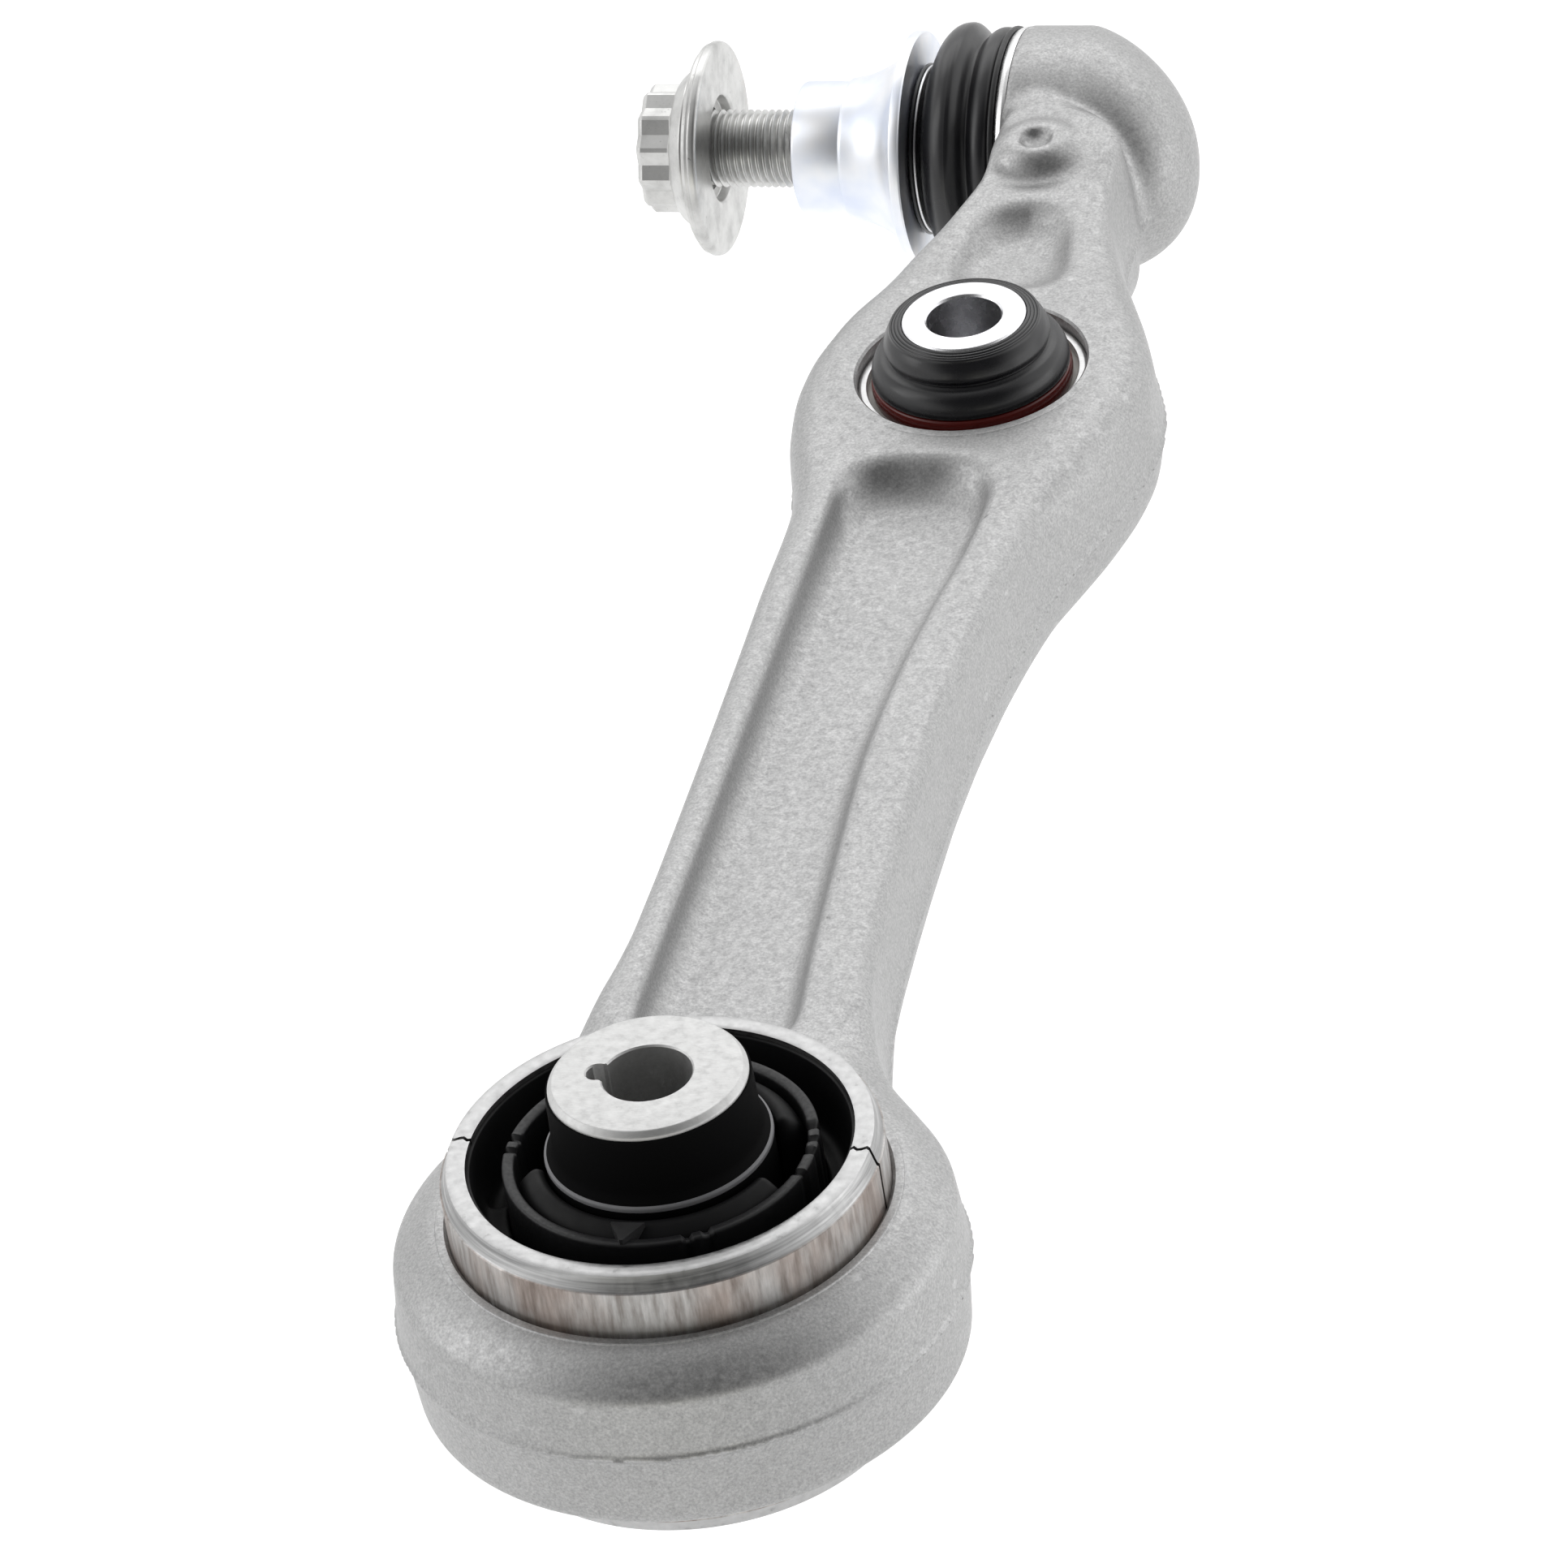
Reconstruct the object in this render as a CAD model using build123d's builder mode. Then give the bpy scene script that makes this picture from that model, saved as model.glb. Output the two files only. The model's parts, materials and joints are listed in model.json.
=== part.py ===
"""Lower control arm: forged aluminium link with a hydraulic bush, a strut bearing and a ball joint.

Millimetres. The origin is the centre of the hydraulic bush, +Z runs along the bush bore,
+Y runs along the arm to the ball joint, and the ball stud points along -X.
"""
import os
from math import cos, radians, sin, sqrt

from build123d import *

os.makedirs("parts", exist_ok=True)

# ---------------------------------------------------------------- driving dimensions
ARM_LENGTH = 373.75          # bush axis to ball centre
STRUT_X, STRUT_Y = -2.0, 267.3   # axis of the strut bearing
FIT = 0.1                    # radial clearance of a sliding fit
GAP = 0.35                   # clearance between pieces that only pass each other

# forging
BIG_EYE_R, BIG_EYE_HALF = 52.0, 16.2
SMALL_EYE_R, SMALL_EYE_HALF = 34.8, 17.0
BEAM_X, BEAM_HALF_WIDTH, BEAM_HALF = -4.4, 22.3, 16.5
BEAM_START, FLARE_START = 30.0, 220.0
POCKET_X, POCKET_WIDTH, POCKET_FLOOR = -4.0, 24.0, 9.5
POCKET_START, POCKET_END = 47.0, 236.0
WAIST_Y, WAIST_HALF = 331.0, 14.2
SMALL_POCKET = (-2.5, 309.0)   # centre of the shallow pocket by the ball housing
HOUSING_R, HOUSING_FACE, HOUSING_BACK = 25.1, 16.4, 20.5
CAVITY_R, CAVITY_DEPTH = 19.6, 16.5

# hydraulic bush
SHELL_R, SHELL_INNER_R, SHELL_HALF, SHELL_SPLIT = 39.6, 34.7, 28.3, 0.6
CORE_R, CORE_HALF, CORE_BORE_R = 17.9, 43.8, 8.1
KEY_WIDTH, KEY_DEPTH = 4.6, 3.0
COAT_R, COAT_HALF, COAT_RIM = 20.4, 41.6, 29.2
CAGE_R, CAGE_WALL, CAGE_HALF = 28.4, 2.4, 27.6
SPRING_ROOT, SPRING_STEP, SPRING_TOP = 8.5, 19.0, 27.0
SEAL_FLOOR, SEAL_TOP = 14.0, 27.6
STOP_R, STOP_HALF = 24.6, 8.0

# strut bearing
SLEEVE_R, SLEEVE_HALF, SLEEVE_BORE_R = 12.3, 28.6, 7.4
SLEEVE_BALL_R, STRUT_LINER = 17.5, 1.0
RACE_R, RACE_WALL, RACE_HALF = 22.7, 1.8, 14.7
STRUT_SHELL_HALF = 13.0
BAND_TOP, BAND_R = 17.2, 19.8
BOOT_TOP, BOOT_TOP_R, BOOT_BASE_R = 28.2, 15.2, 19.4

# ball joint
BALL_R, BALL_LINER, NECK_R = 13.5, 1.2, 7.8
SHANK_R, SHANK_END, FLARE_END = 13.8, 61.6, 51.4
FLANGE_R, FLANGE_FRONT, FLANGE_BACK = 24.1, 36.2, 38.4
SEAT_LIP_DEG = 60.0
STUD_HOLE_DEPTH = 28.6

# bolt and washer
BOLT_R, WASHER_FACE, WASHER_R, WASHER_RIM = 8.0, 79.3, 22.0, 3.9
BOLT_LENGTH, HEAD_START, HEAD_END, HEAD_R = 28.0, 87.5, 94.5, 13.4
BOLT_FLANGE_R = 17.2

# ---------------------------------------------------------------- turning planes
BUSH_PLANE, BUSH_AXIS = Plane.XZ, Axis.Z
STRUT_CENTRE = (STRUT_X, STRUT_Y, 0)
STRUT_PLANE = Plane(origin=STRUT_CENTRE, x_dir=(1, 0, 0), z_dir=(0, -1, 0))
STRUT_AXIS = Axis(STRUT_CENTRE, (0, 0, 1))
BALL_CENTRE = (0, ARM_LENGTH, 0)
# on the ball plane the first number is a radius and the second the distance out along the stud
BALL_PLANE = Plane(origin=BALL_CENTRE, x_dir=(0, 1, 0), z_dir=(0, 0, 1))
BALL_AXIS = Axis(BALL_CENTRE, (-1, 0, 0))


def turned(plane, axis, corners):
    """A piece turned about an axis from (radius, height) corners."""
    with BuildPart() as piece:
        with BuildSketch(plane):
            with BuildLine():
                Polyline(*corners, close=True)
            make_face()
        revolve(axis=axis)
    return piece


def ring(plane, axis, inner, outer, low, high):
    """A plain ring between two radii and two heights."""
    return turned(plane, axis, [(inner, low), (outer, low), (outer, high), (inner, high)])


def rounded_disc(plane, axis, radius, half, drop, inset):
    """A disc whose outer edge is rounded from the face to the side, above and below."""
    with BuildPart() as piece:
        with BuildSketch(plane):
            with BuildLine():
                Line((0, -half), (radius - inset, -half))
                ThreePointArc(
                    (radius - inset, -half),
                    (radius - inset * (1 - sqrt(0.5)), -half + drop * (1 - sqrt(0.5))),
                    (radius, -half + drop),
                )
                Line((radius, -half + drop), (radius, half - drop))
                ThreePointArc(
                    (radius, half - drop),
                    (radius - inset * (1 - sqrt(0.5)), half - drop * (1 - sqrt(0.5))),
                    (radius - inset, half),
                )
                Line((radius - inset, half), (0, half))
                Line((0, half), (0, -half))
            make_face()
        revolve(axis=axis)
    return piece


# ---------------------------------------------------------------- the forging
def beam_outline():
    """The link between the two eyes: straight sides that flare into the smaller eye."""
    left, right = BEAM_X - BEAM_HALF_WIDTH, BEAM_X + BEAM_HALF_WIDTH
    with BuildSketch() as outline:
        with BuildLine():
            Polyline(
                (left, BEAM_START), (left, FLARE_START),
                (BEAM_X - 31.0, 249.0), (BEAM_X - 32.4, STRUT_Y),
                (BEAM_X + 32.4, STRUT_Y), (BEAM_X + 31.0, 249.0),
                (right, FLARE_START), (right, BEAM_START),
                close=True,
            )
        make_face()
        corners = outline.vertices().filter_by_position(Axis.Y, FLARE_START - 1, FLARE_START + 1)
        fillet(corners, 60)
        with Locations((0, 0)):
            Circle(BIG_EYE_R - 1)
        joints = outline.vertices().filter_by_position(Axis.Y, BEAM_START, 60)
        fillet(joints, 34)
    return outline.sketch


def neck_outline():
    """The taper from the smaller eye to the ball housing."""
    with BuildSketch() as outline:
        with BuildLine():
            Polyline(
                (-30.5, 288), (-WAIST_HALF, WAIST_Y), (-WAIST_HALF, 352),
                (WAIST_HALF, 352), (WAIST_HALF, WAIST_Y), (27.5, 291),
                close=True,
            )
        make_face()
    return outline.sketch


def pocket_outline():
    """The long pocket in the beam, with an arched far end."""
    with BuildSketch() as outline:
        middle = (POCKET_START + POCKET_END) / 2
        with Locations((POCKET_X, middle)):
            RectangleRounded(POCKET_WIDTH, POCKET_END - POCKET_START, POCKET_WIDTH / 2 - 2)
    return outline.sketch


BEAM, NECK, POCKET = beam_outline(), neck_outline(), pocket_outline()
BIG_EYE = rounded_disc(BUSH_PLANE, BUSH_AXIS, BIG_EYE_R, BIG_EYE_HALF, 7.0, 6.5).part
SMALL_EYE = rounded_disc(STRUT_PLANE, STRUT_AXIS, SMALL_EYE_R, SMALL_EYE_HALF, 4.0, 3.0).part

with BuildPart() as housing:
    with BuildSketch(BALL_PLANE):
        with BuildLine():
            Polyline((0, HOUSING_FACE), (HOUSING_R - 0.8, HOUSING_FACE), (HOUSING_R, 14.4), (HOUSING_R, 1))
            EllipticalCenterArc((0, 1), HOUSING_R, HOUSING_BACK + 1, start_angle=270, arc_size=90)
            Line((0, -HOUSING_BACK), (0, HOUSING_FACE))
        make_face()
    revolve(axis=BALL_AXIS)

with BuildPart() as cavity:
    with BuildSketch(BALL_PLANE):
        with BuildLine():
            Polyline((0, HOUSING_FACE + 1), (CAVITY_R, HOUSING_FACE + 1), (CAVITY_R, 0))
            EllipticalCenterArc((0, 0), CAVITY_R, CAVITY_DEPTH, start_angle=270, arc_size=90)
            Line((0, -CAVITY_DEPTH), (0, HOUSING_FACE + 1))
        make_face()
    revolve(axis=BALL_AXIS)

with BuildPart() as arm_forging:
    with BuildSketch():
        add(BEAM)
    extrude(amount=BEAM_HALF - 0.5, both=True)
    with BuildSketch():
        add(NECK)
    extrude(amount=BEAM_HALF, both=True)
    add(BIG_EYE)
    add(SMALL_EYE)
    add(housing.part)
    with Locations((-1, 347, 0)):
        Box(21, 20, 42)
    for side in (1, -1):
        with BuildSketch(Plane.XY.offset(side * POCKET_FLOOR)):
            add(POCKET)
        extrude(amount=side * 12, mode=Mode.SUBTRACT)
        with BuildSketch(Plane.XY.offset(side * 12.5)):
            with Locations(SMALL_POCKET):
                Ellipse(12.3, 15.5)
        extrude(amount=side * 12, mode=Mode.SUBTRACT)
    with Locations((-4.6, 343.5, 21)):
        Hole(2.4, depth=2)
    Cylinder(SHELL_R, 80, mode=Mode.SUBTRACT)
    with Locations(STRUT_CENTRE):
        Cylinder(RACE_R, 80, mode=Mode.SUBTRACT)
    add(cavity.part, mode=Mode.SUBTRACT)

# ---------------------------------------------------------------- hydraulic bush, on the core
with BuildPart() as bush_core:
    with BuildSketch(BUSH_PLANE):
        with BuildLine():
            Polyline(
                (0, -CORE_HALF), (CORE_R - 1, -CORE_HALF), (CORE_R, 1 - CORE_HALF),
                (CORE_R, CORE_HALF - 1), (CORE_R - 1, CORE_HALF), (0, CORE_HALF),
                close=True,
            )
        make_face()
    revolve(axis=BUSH_AXIS)
    Cylinder(CORE_BORE_R, 2 * CORE_HALF + 2, mode=Mode.SUBTRACT)
    with Locations((-CORE_BORE_R, 0, 0)):
        Cylinder(KEY_WIDTH / 2, 2 * CORE_HALF + 2, mode=Mode.SUBTRACT)
    with Locations((-CORE_BORE_R - KEY_DEPTH / 4, 0, 0)):
        Box(KEY_DEPTH / 2, KEY_WIDTH, 2 * CORE_HALF + 2, mode=Mode.SUBTRACT)

bush_core_coat = turned(BUSH_PLANE, BUSH_AXIS, [
    (CORE_R, -COAT_HALF), (CORE_R + 0.4, -COAT_HALF), (CORE_R + 0.8, -COAT_RIM - 1.6),
    (COAT_R, -COAT_RIM), (COAT_R, COAT_RIM), (CORE_R + 0.8, COAT_RIM + 1.6),
    (CORE_R + 0.4, COAT_HALF), (CORE_R, COAT_HALF),
])
bush_travel_stop = ring(BUSH_PLANE, BUSH_AXIS, COAT_R, STOP_R, -STOP_HALF, STOP_HALF)

# ---------------------------------------------------------------- hydraulic bush, in the arm
SHELL_PROFILE = [
    (SHELL_INNER_R, -SHELL_HALF), (SHELL_R - 0.5, -SHELL_HALF), (SHELL_R - 0.5, 2.6 - SHELL_HALF),
    (SHELL_R, 3 - SHELL_HALF), (SHELL_R, SHELL_HALF - 3), (SHELL_R - 0.5, SHELL_HALF - 2.6),
    (SHELL_R - 0.5, SHELL_HALF), (SHELL_INNER_R, SHELL_HALF),
]
shell_tube = turned(BUSH_PLANE, BUSH_AXIS, SHELL_PROFILE)


def half_shell(side):
    """One half of the split outer shell."""
    with BuildPart() as piece:
        add(shell_tube.part)
        with Locations((0, side * (50 + SHELL_SPLIT / 2), 0)):
            Box(100, 100, 80, mode=Mode.INTERSECT)
    return piece


bush_shell_front, bush_shell_rear = half_shell(-1), half_shell(1)

with BuildPart() as bush_cage:
    with BuildSketch(Plane.XY.offset(-CAGE_HALF)):
        Circle(CAGE_R)
        Circle(CAGE_R - CAGE_WALL, mode=Mode.SUBTRACT)
    extrude(amount=2 * CAGE_HALF)
    Box(80, 30, 15, mode=Mode.SUBTRACT)                      # fluid windows
    for angle in (8, 20, 160, 172):
        with Locations(Plane.XY.rotated((0, 0, angle)).offset(CAGE_HALF)):
            with Locations((CAGE_R - CAGE_WALL / 2, 0, 0)):
                Box(4, 2.4, 3, mode=Mode.SUBTRACT)               # notches in the top ring

with BuildPart() as bush_channel_ring:
    with BuildSketch(Plane.XY.offset(-9)):
        Circle(SHELL_INNER_R - GAP)
        Circle(CAGE_R + 0.1, mode=Mode.SUBTRACT)
    extrude(amount=18)
    for height in (-4.5, 0, 4.5):
        with BuildSketch(Plane.XY.offset(height - 1.2)):
            Circle(SHELL_INNER_R + 1)
            Circle(SHELL_INNER_R - 2.6, mode=Mode.SUBTRACT)
        extrude(amount=2.4, mode=Mode.SUBTRACT)


def rubber_spring(side):
    """Bonded rubber ring with two lobes, above or below the fluid chamber."""
    with BuildPart() as piece:
        with BuildSketch(Plane.XY.offset(side * SPRING_ROOT)):
            Circle(CAGE_R - CAGE_WALL)
            Circle(COAT_R + GAP, mode=Mode.SUBTRACT)
        extrude(amount=side * (SPRING_STEP - SPRING_ROOT))
        with BuildSketch(Plane.XY.offset(side * SPRING_STEP)):
            Circle(CAGE_R - CAGE_WALL - 0.6)
            Circle(COAT_R + GAP, mode=Mode.SUBTRACT)
            Rectangle(80, 12, mode=Mode.SUBTRACT)
        extrude(amount=side * (SPRING_TOP - SPRING_STEP))
    return piece


def rubber_seal(side):
    """Rubber trough between the cage and the shell, which it lines up to the rim."""
    corners = [(CAGE_R + 0.05, 9.1), (SHELL_INNER_R, 9.1), (SHELL_INNER_R, SEAL_TOP),
               (SHELL_INNER_R - 0.9, SEAL_TOP), (SHELL_INNER_R - 1.4, SEAL_FLOOR),
               (CAGE_R + 0.05, SEAL_FLOOR)]
    return turned(BUSH_PLANE, BUSH_AXIS, [(r, side * z) for r, z in corners])


bush_spring_upper, bush_spring_lower = rubber_spring(1), rubber_spring(-1)
bush_seal_upper, bush_seal_lower = rubber_seal(1), rubber_seal(-1)

# ---------------------------------------------------------------- strut bearing
with BuildPart() as strut_sleeve:
    with Locations(STRUT_CENTRE):
        Cylinder(SLEEVE_R, 2 * SLEEVE_HALF)
        Sphere(SLEEVE_BALL_R)
        Cylinder(SLEEVE_BORE_R, 2 * SLEEVE_HALF + 2, mode=Mode.SUBTRACT)


def spherical_band(inner, outer, plane, axis, lip_deg):
    """A thin spherical liner that ends at an angle from its axis at both ends."""
    with BuildPart() as piece:
        with BuildSketch(plane):
            with BuildLine():
                ends = [
                    (r * sin(radians(lip_deg)), r * cos(radians(lip_deg))) for r in (inner, outer)
                ]
                ThreePointArc((ends[0][0], -ends[0][1]), (inner, 0), ends[0])
                Line(ends[0], ends[1])
                ThreePointArc(ends[1], (outer, 0), (ends[1][0], -ends[1][1]))
                Line((ends[1][0], -ends[1][1]), (ends[0][0], -ends[0][1]))
            make_face()
        revolve(axis=axis)
    return piece


STRUT_LINER_IN = SLEEVE_BALL_R + FIT
STRUT_LINER_OUT = STRUT_LINER_IN + STRUT_LINER
strut_liner = spherical_band(STRUT_LINER_IN, STRUT_LINER_OUT, STRUT_PLANE, STRUT_AXIS, 62)

STRUT_SEAT_R = STRUT_LINER_OUT + FIT
STRUT_LIP = (STRUT_SEAT_R * sin(radians(58)), STRUT_SEAT_R * cos(radians(58)))
with BuildPart() as strut_bearing_shell:
    with BuildSketch(STRUT_PLANE):
        with BuildLine():
            Line((STRUT_LIP[0], -STRUT_LIP[1]), (18.4, -STRUT_SHELL_HALF))
            Polyline((18.4, -STRUT_SHELL_HALF), (RACE_R - RACE_WALL, -STRUT_SHELL_HALF),
                     (RACE_R - RACE_WALL, STRUT_SHELL_HALF), (18.4, STRUT_SHELL_HALF), STRUT_LIP)
            ThreePointArc(STRUT_LIP, (STRUT_SEAT_R, 0), (STRUT_LIP[0], -STRUT_LIP[1]))
        make_face()
    revolve(axis=STRUT_AXIS)

strut_race = turned(STRUT_PLANE, STRUT_AXIS, [
    (RACE_R - RACE_WALL, -RACE_HALF), (RACE_R - 0.6, -RACE_HALF), (RACE_R, 0.6 - RACE_HALF),
    (RACE_R, RACE_HALF - 0.6), (RACE_R - 0.6, RACE_HALF), (RACE_R - RACE_WALL, RACE_HALF),
])


def strut_band(side):
    """Dark red ring that holds the wide end of a boot."""
    low, high = sorted((side * STRUT_SHELL_HALF, side * BAND_TOP))
    return ring(STRUT_PLANE, STRUT_AXIS, 18.45, BAND_R, low, high)


def strut_collar(side):
    """Ring inside the lip of a boot, sliding on the sleeve."""
    low, high = sorted((side * 24.4, side * 27.4))
    return ring(STRUT_PLANE, STRUT_AXIS, SLEEVE_R + FIT, SLEEVE_R + 1.0, low, high)


def strut_boot(side):
    """Plain stepped rubber cone from the dark red ring up to the sleeve."""
    outer = [(BOOT_BASE_R, BAND_TOP + 0.05), (18.9, 20.3), (17.6, 22.0), (17.2, 25.0),
             (BOOT_TOP_R, BOOT_TOP)]
    inner = [(SLEEVE_R + 1.05, BOOT_TOP), (SLEEVE_R + 1.05, 24.3), (15.6, 21.4), (16.9, BAND_TOP + 0.05)]
    return turned(STRUT_PLANE, STRUT_AXIS, [(r, side * z) for r, z in outer + inner])


strut_band_upper, strut_band_lower = strut_band(1), strut_band(-1)
strut_collar_upper, strut_collar_lower = strut_collar(1), strut_collar(-1)
strut_boot_upper, strut_boot_lower = strut_boot(1), strut_boot(-1)

# ---------------------------------------------------------------- ball joint
LINER_IN = BALL_R + FIT
LINER_OUT = LINER_IN + BALL_LINER
SEAT_R = LINER_OUT + FIT
ball_liner = spherical_band(LINER_IN, LINER_OUT, BALL_PLANE, BALL_AXIS, 62)

SEAT_LIP = (SEAT_R * sin(radians(SEAT_LIP_DEG)), SEAT_R * cos(radians(SEAT_LIP_DEG)))
RING_BACK = 13.4
with BuildPart() as ball_seat:
    with BuildSketch(BALL_PLANE):
        with BuildLine():
            Polyline(SEAT_LIP, (16.2, RING_BACK), (CAVITY_R, RING_BACK), (CAVITY_R, 0))
            EllipticalCenterArc((0, 0), CAVITY_R, CAVITY_DEPTH, start_angle=270, arc_size=90)
            Line((0, -CAVITY_DEPTH), (0, -SEAT_R))
            ThreePointArc((0, -SEAT_R), (SEAT_R, 0), SEAT_LIP)
        make_face()
    revolve(axis=BALL_AXIS)

ball_retaining_ring = ring(BALL_PLANE, BALL_AXIS, 16.9, CAVITY_R, RING_BACK, HOUSING_FACE)

with BuildPart() as ball_stud:
    with BuildSketch(BALL_PLANE):
        with BuildLine():
            Polyline(
                (0, 8), (NECK_R, 8), (NECK_R, 19), (SHANK_R + 0.1, 31), (SHANK_R + 0.1, FLANGE_FRONT),
                (FLANGE_R, FLANGE_FRONT), (FLANGE_R, FLANGE_BACK - 0.4), (FLANGE_R - 0.5, FLANGE_BACK),
            )
            ThreePointArc((FLANGE_R - 0.5, FLANGE_BACK), (16.8, 43.6), (SHANK_R + 0.6, FLARE_END))
            Polyline((SHANK_R + 0.6, FLARE_END), (SHANK_R, FLARE_END), (SHANK_R, SHANK_END - 0.8),
                     (SHANK_R - 0.8, SHANK_END), (0, SHANK_END), (0, 8))
        make_face()
    revolve(axis=BALL_AXIS)
    with Locations(BALL_CENTRE):
        Sphere(BALL_R)
    with BuildSketch(BALL_PLANE):
        with BuildLine():
            hole_r = BOLT_R + 0.06
            Polyline((0, SHANK_END), (hole_r, SHANK_END), (hole_r, SHANK_END - STUD_HOLE_DEPTH),
                     (0, SHANK_END - STUD_HOLE_DEPTH - 3), close=True)
        make_face()
    revolve(axis=BALL_AXIS, mode=Mode.SUBTRACT)

ball_boot = turned(BALL_PLANE, BALL_AXIS, [
    (22.0, 17.7), (24.2, 17.7), (24.4, 21.4), (22.9, 22.4), (25.6, 24.4), (25.8, 27.4), (23.6, 30.6),
    (18.8, 32.6), (17.2, 34.2), (14.1, 34.2), (14.1, 32.6), (17.6, 30.6), (21.6, 28.6), (23.4, 26.6),
    (20.9, 23.2), (20.6, 21.2),
])
boot_clamp_large = ring(BALL_PLANE, BALL_AXIS, 20.6, 25.1, HOUSING_FACE, 17.6)
boot_clamp_small = ring(BALL_PLANE, BALL_AXIS, SHANK_R + 0.2, 17.6, 34.3, 36.0)

# ---------------------------------------------------------------- bolt and captive washer
WASHER_BACK = WASHER_FACE + WASHER_RIM
clamp_washer = turned(BALL_PLANE, BALL_AXIS, [
    (8.7, WASHER_FACE + 1.4), (11.2, WASHER_FACE + 1.4), (11.2, WASHER_FACE), (WASHER_R - 0.8, WASHER_FACE),
    (WASHER_R, WASHER_FACE + 0.8), (WASHER_R, WASHER_BACK - 1.6), (BOLT_FLANGE_R + 0.6, WASHER_BACK),
    (8.7, WASHER_BACK),
])

HEAD_FRONT = WASHER_BACK + 0.1
with BuildPart() as knuckle_bolt:
    with BuildSketch(BALL_PLANE):
        with BuildLine():
            tip = WASHER_FACE - BOLT_LENGTH
            Polyline(
                (0, tip), (BOLT_R - 1.2, tip), (BOLT_R, tip + 1.2), (BOLT_R, HEAD_FRONT),
                (BOLT_FLANGE_R, HEAD_FRONT), (BOLT_FLANGE_R, HEAD_FRONT + 1.0), (HEAD_R, HEAD_START),
                (0, HEAD_START), close=True,
            )
        make_face()
    revolve(axis=BALL_AXIS)
    with BuildSketch(Plane(origin=(-HEAD_START, ARM_LENGTH, 0), x_dir=(0, 1, 0), z_dir=(-1, 0, 0))):
        RegularPolygon(HEAD_R, 6)
        RegularPolygon(HEAD_R, 6, rotation=30)
    extrude(amount=HEAD_END - HEAD_START)

# ---------------------------------------------------------------- labels and files
PIECES = {
    "arm_forging": arm_forging,
    "bush_core": bush_core, "bush_core_coat": bush_core_coat, "bush_travel_stop": bush_travel_stop,
    "bush_shell_front": bush_shell_front, "bush_shell_rear": bush_shell_rear,
    "bush_cage": bush_cage, "bush_channel_ring": bush_channel_ring,
    "bush_spring_upper": bush_spring_upper, "bush_spring_lower": bush_spring_lower,
    "bush_seal_upper": bush_seal_upper, "bush_seal_lower": bush_seal_lower,
    "strut_sleeve": strut_sleeve, "strut_liner": strut_liner,
    "strut_bearing_shell": strut_bearing_shell, "strut_race": strut_race,
    "strut_band_upper": strut_band_upper, "strut_band_lower": strut_band_lower,
    "strut_collar_upper": strut_collar_upper, "strut_collar_lower": strut_collar_lower,
    "strut_boot_upper": strut_boot_upper, "strut_boot_lower": strut_boot_lower,
    "ball_seat": ball_seat, "ball_liner": ball_liner, "ball_retaining_ring": ball_retaining_ring,
    "ball_stud": ball_stud, "ball_boot": ball_boot,
    "boot_clamp_large": boot_clamp_large, "boot_clamp_small": boot_clamp_small,
    "clamp_washer": clamp_washer, "knuckle_bolt": knuckle_bolt,
}
for name, piece in PIECES.items():
    piece.part.label = name
    export_step(piece.part, f"parts/{name}.step")
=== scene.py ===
"""Control arm: detailed meshes, materials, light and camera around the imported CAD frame.

Lengths in the shape code are millimetres in the row frame; meshes are written in metres.
"""
import json
import math

import bmesh
import bpy
import numpy as np
from mathutils import Matrix, Vector


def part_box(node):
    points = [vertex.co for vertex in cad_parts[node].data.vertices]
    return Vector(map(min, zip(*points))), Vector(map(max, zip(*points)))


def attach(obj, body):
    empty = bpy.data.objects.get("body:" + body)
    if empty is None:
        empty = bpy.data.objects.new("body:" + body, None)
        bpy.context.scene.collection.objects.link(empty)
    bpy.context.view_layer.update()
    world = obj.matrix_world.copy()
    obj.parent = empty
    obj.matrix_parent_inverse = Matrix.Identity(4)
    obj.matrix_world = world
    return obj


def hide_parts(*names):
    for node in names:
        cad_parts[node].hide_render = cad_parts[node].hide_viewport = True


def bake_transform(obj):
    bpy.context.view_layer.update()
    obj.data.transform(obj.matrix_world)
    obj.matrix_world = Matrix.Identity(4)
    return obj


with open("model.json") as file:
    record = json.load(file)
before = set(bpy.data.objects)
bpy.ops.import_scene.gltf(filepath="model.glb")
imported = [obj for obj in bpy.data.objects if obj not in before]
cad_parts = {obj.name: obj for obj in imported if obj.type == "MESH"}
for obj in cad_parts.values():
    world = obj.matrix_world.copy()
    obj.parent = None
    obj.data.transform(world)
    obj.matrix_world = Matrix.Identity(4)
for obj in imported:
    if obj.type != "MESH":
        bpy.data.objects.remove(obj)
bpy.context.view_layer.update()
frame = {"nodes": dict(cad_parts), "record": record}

MM = 0.001
TAU = 2 * math.pi
slots = {part["node"]: part["material_slot"] for part in frame["record"]["subparts"]}
SIDES = ((1, "upper"), (-1, "lower"))

# ------------------------------------------------------------------ places read from the frame
JOINTS = {j["name"]: j for j in frame["record"]["behaviour"]["joints"]}
BALL = np.array(JOINTS["ball_swing"]["pos_m"]) / MM
STRUT = np.array(JOINTS["strut_turn"]["pos_m"]) / MM
BUSH = np.array(JOINTS["bush_swing"]["pos_m"]) / MM


def reach(node, side, axis):
    """One coordinate of a CAD node's box, in mm: side 0 is the low corner and 1 the high one."""
    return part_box(node)[side][axis] / MM


X, Y, Z = np.eye(3)
BUSH_AXES = (BUSH, X, Y, Z)
STRUT_AXES = (STRUT, X, Y, Z)
BALL_AXES = (BALL, Y, -Z, -X)      # height runs out along the stud, towards -X

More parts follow.
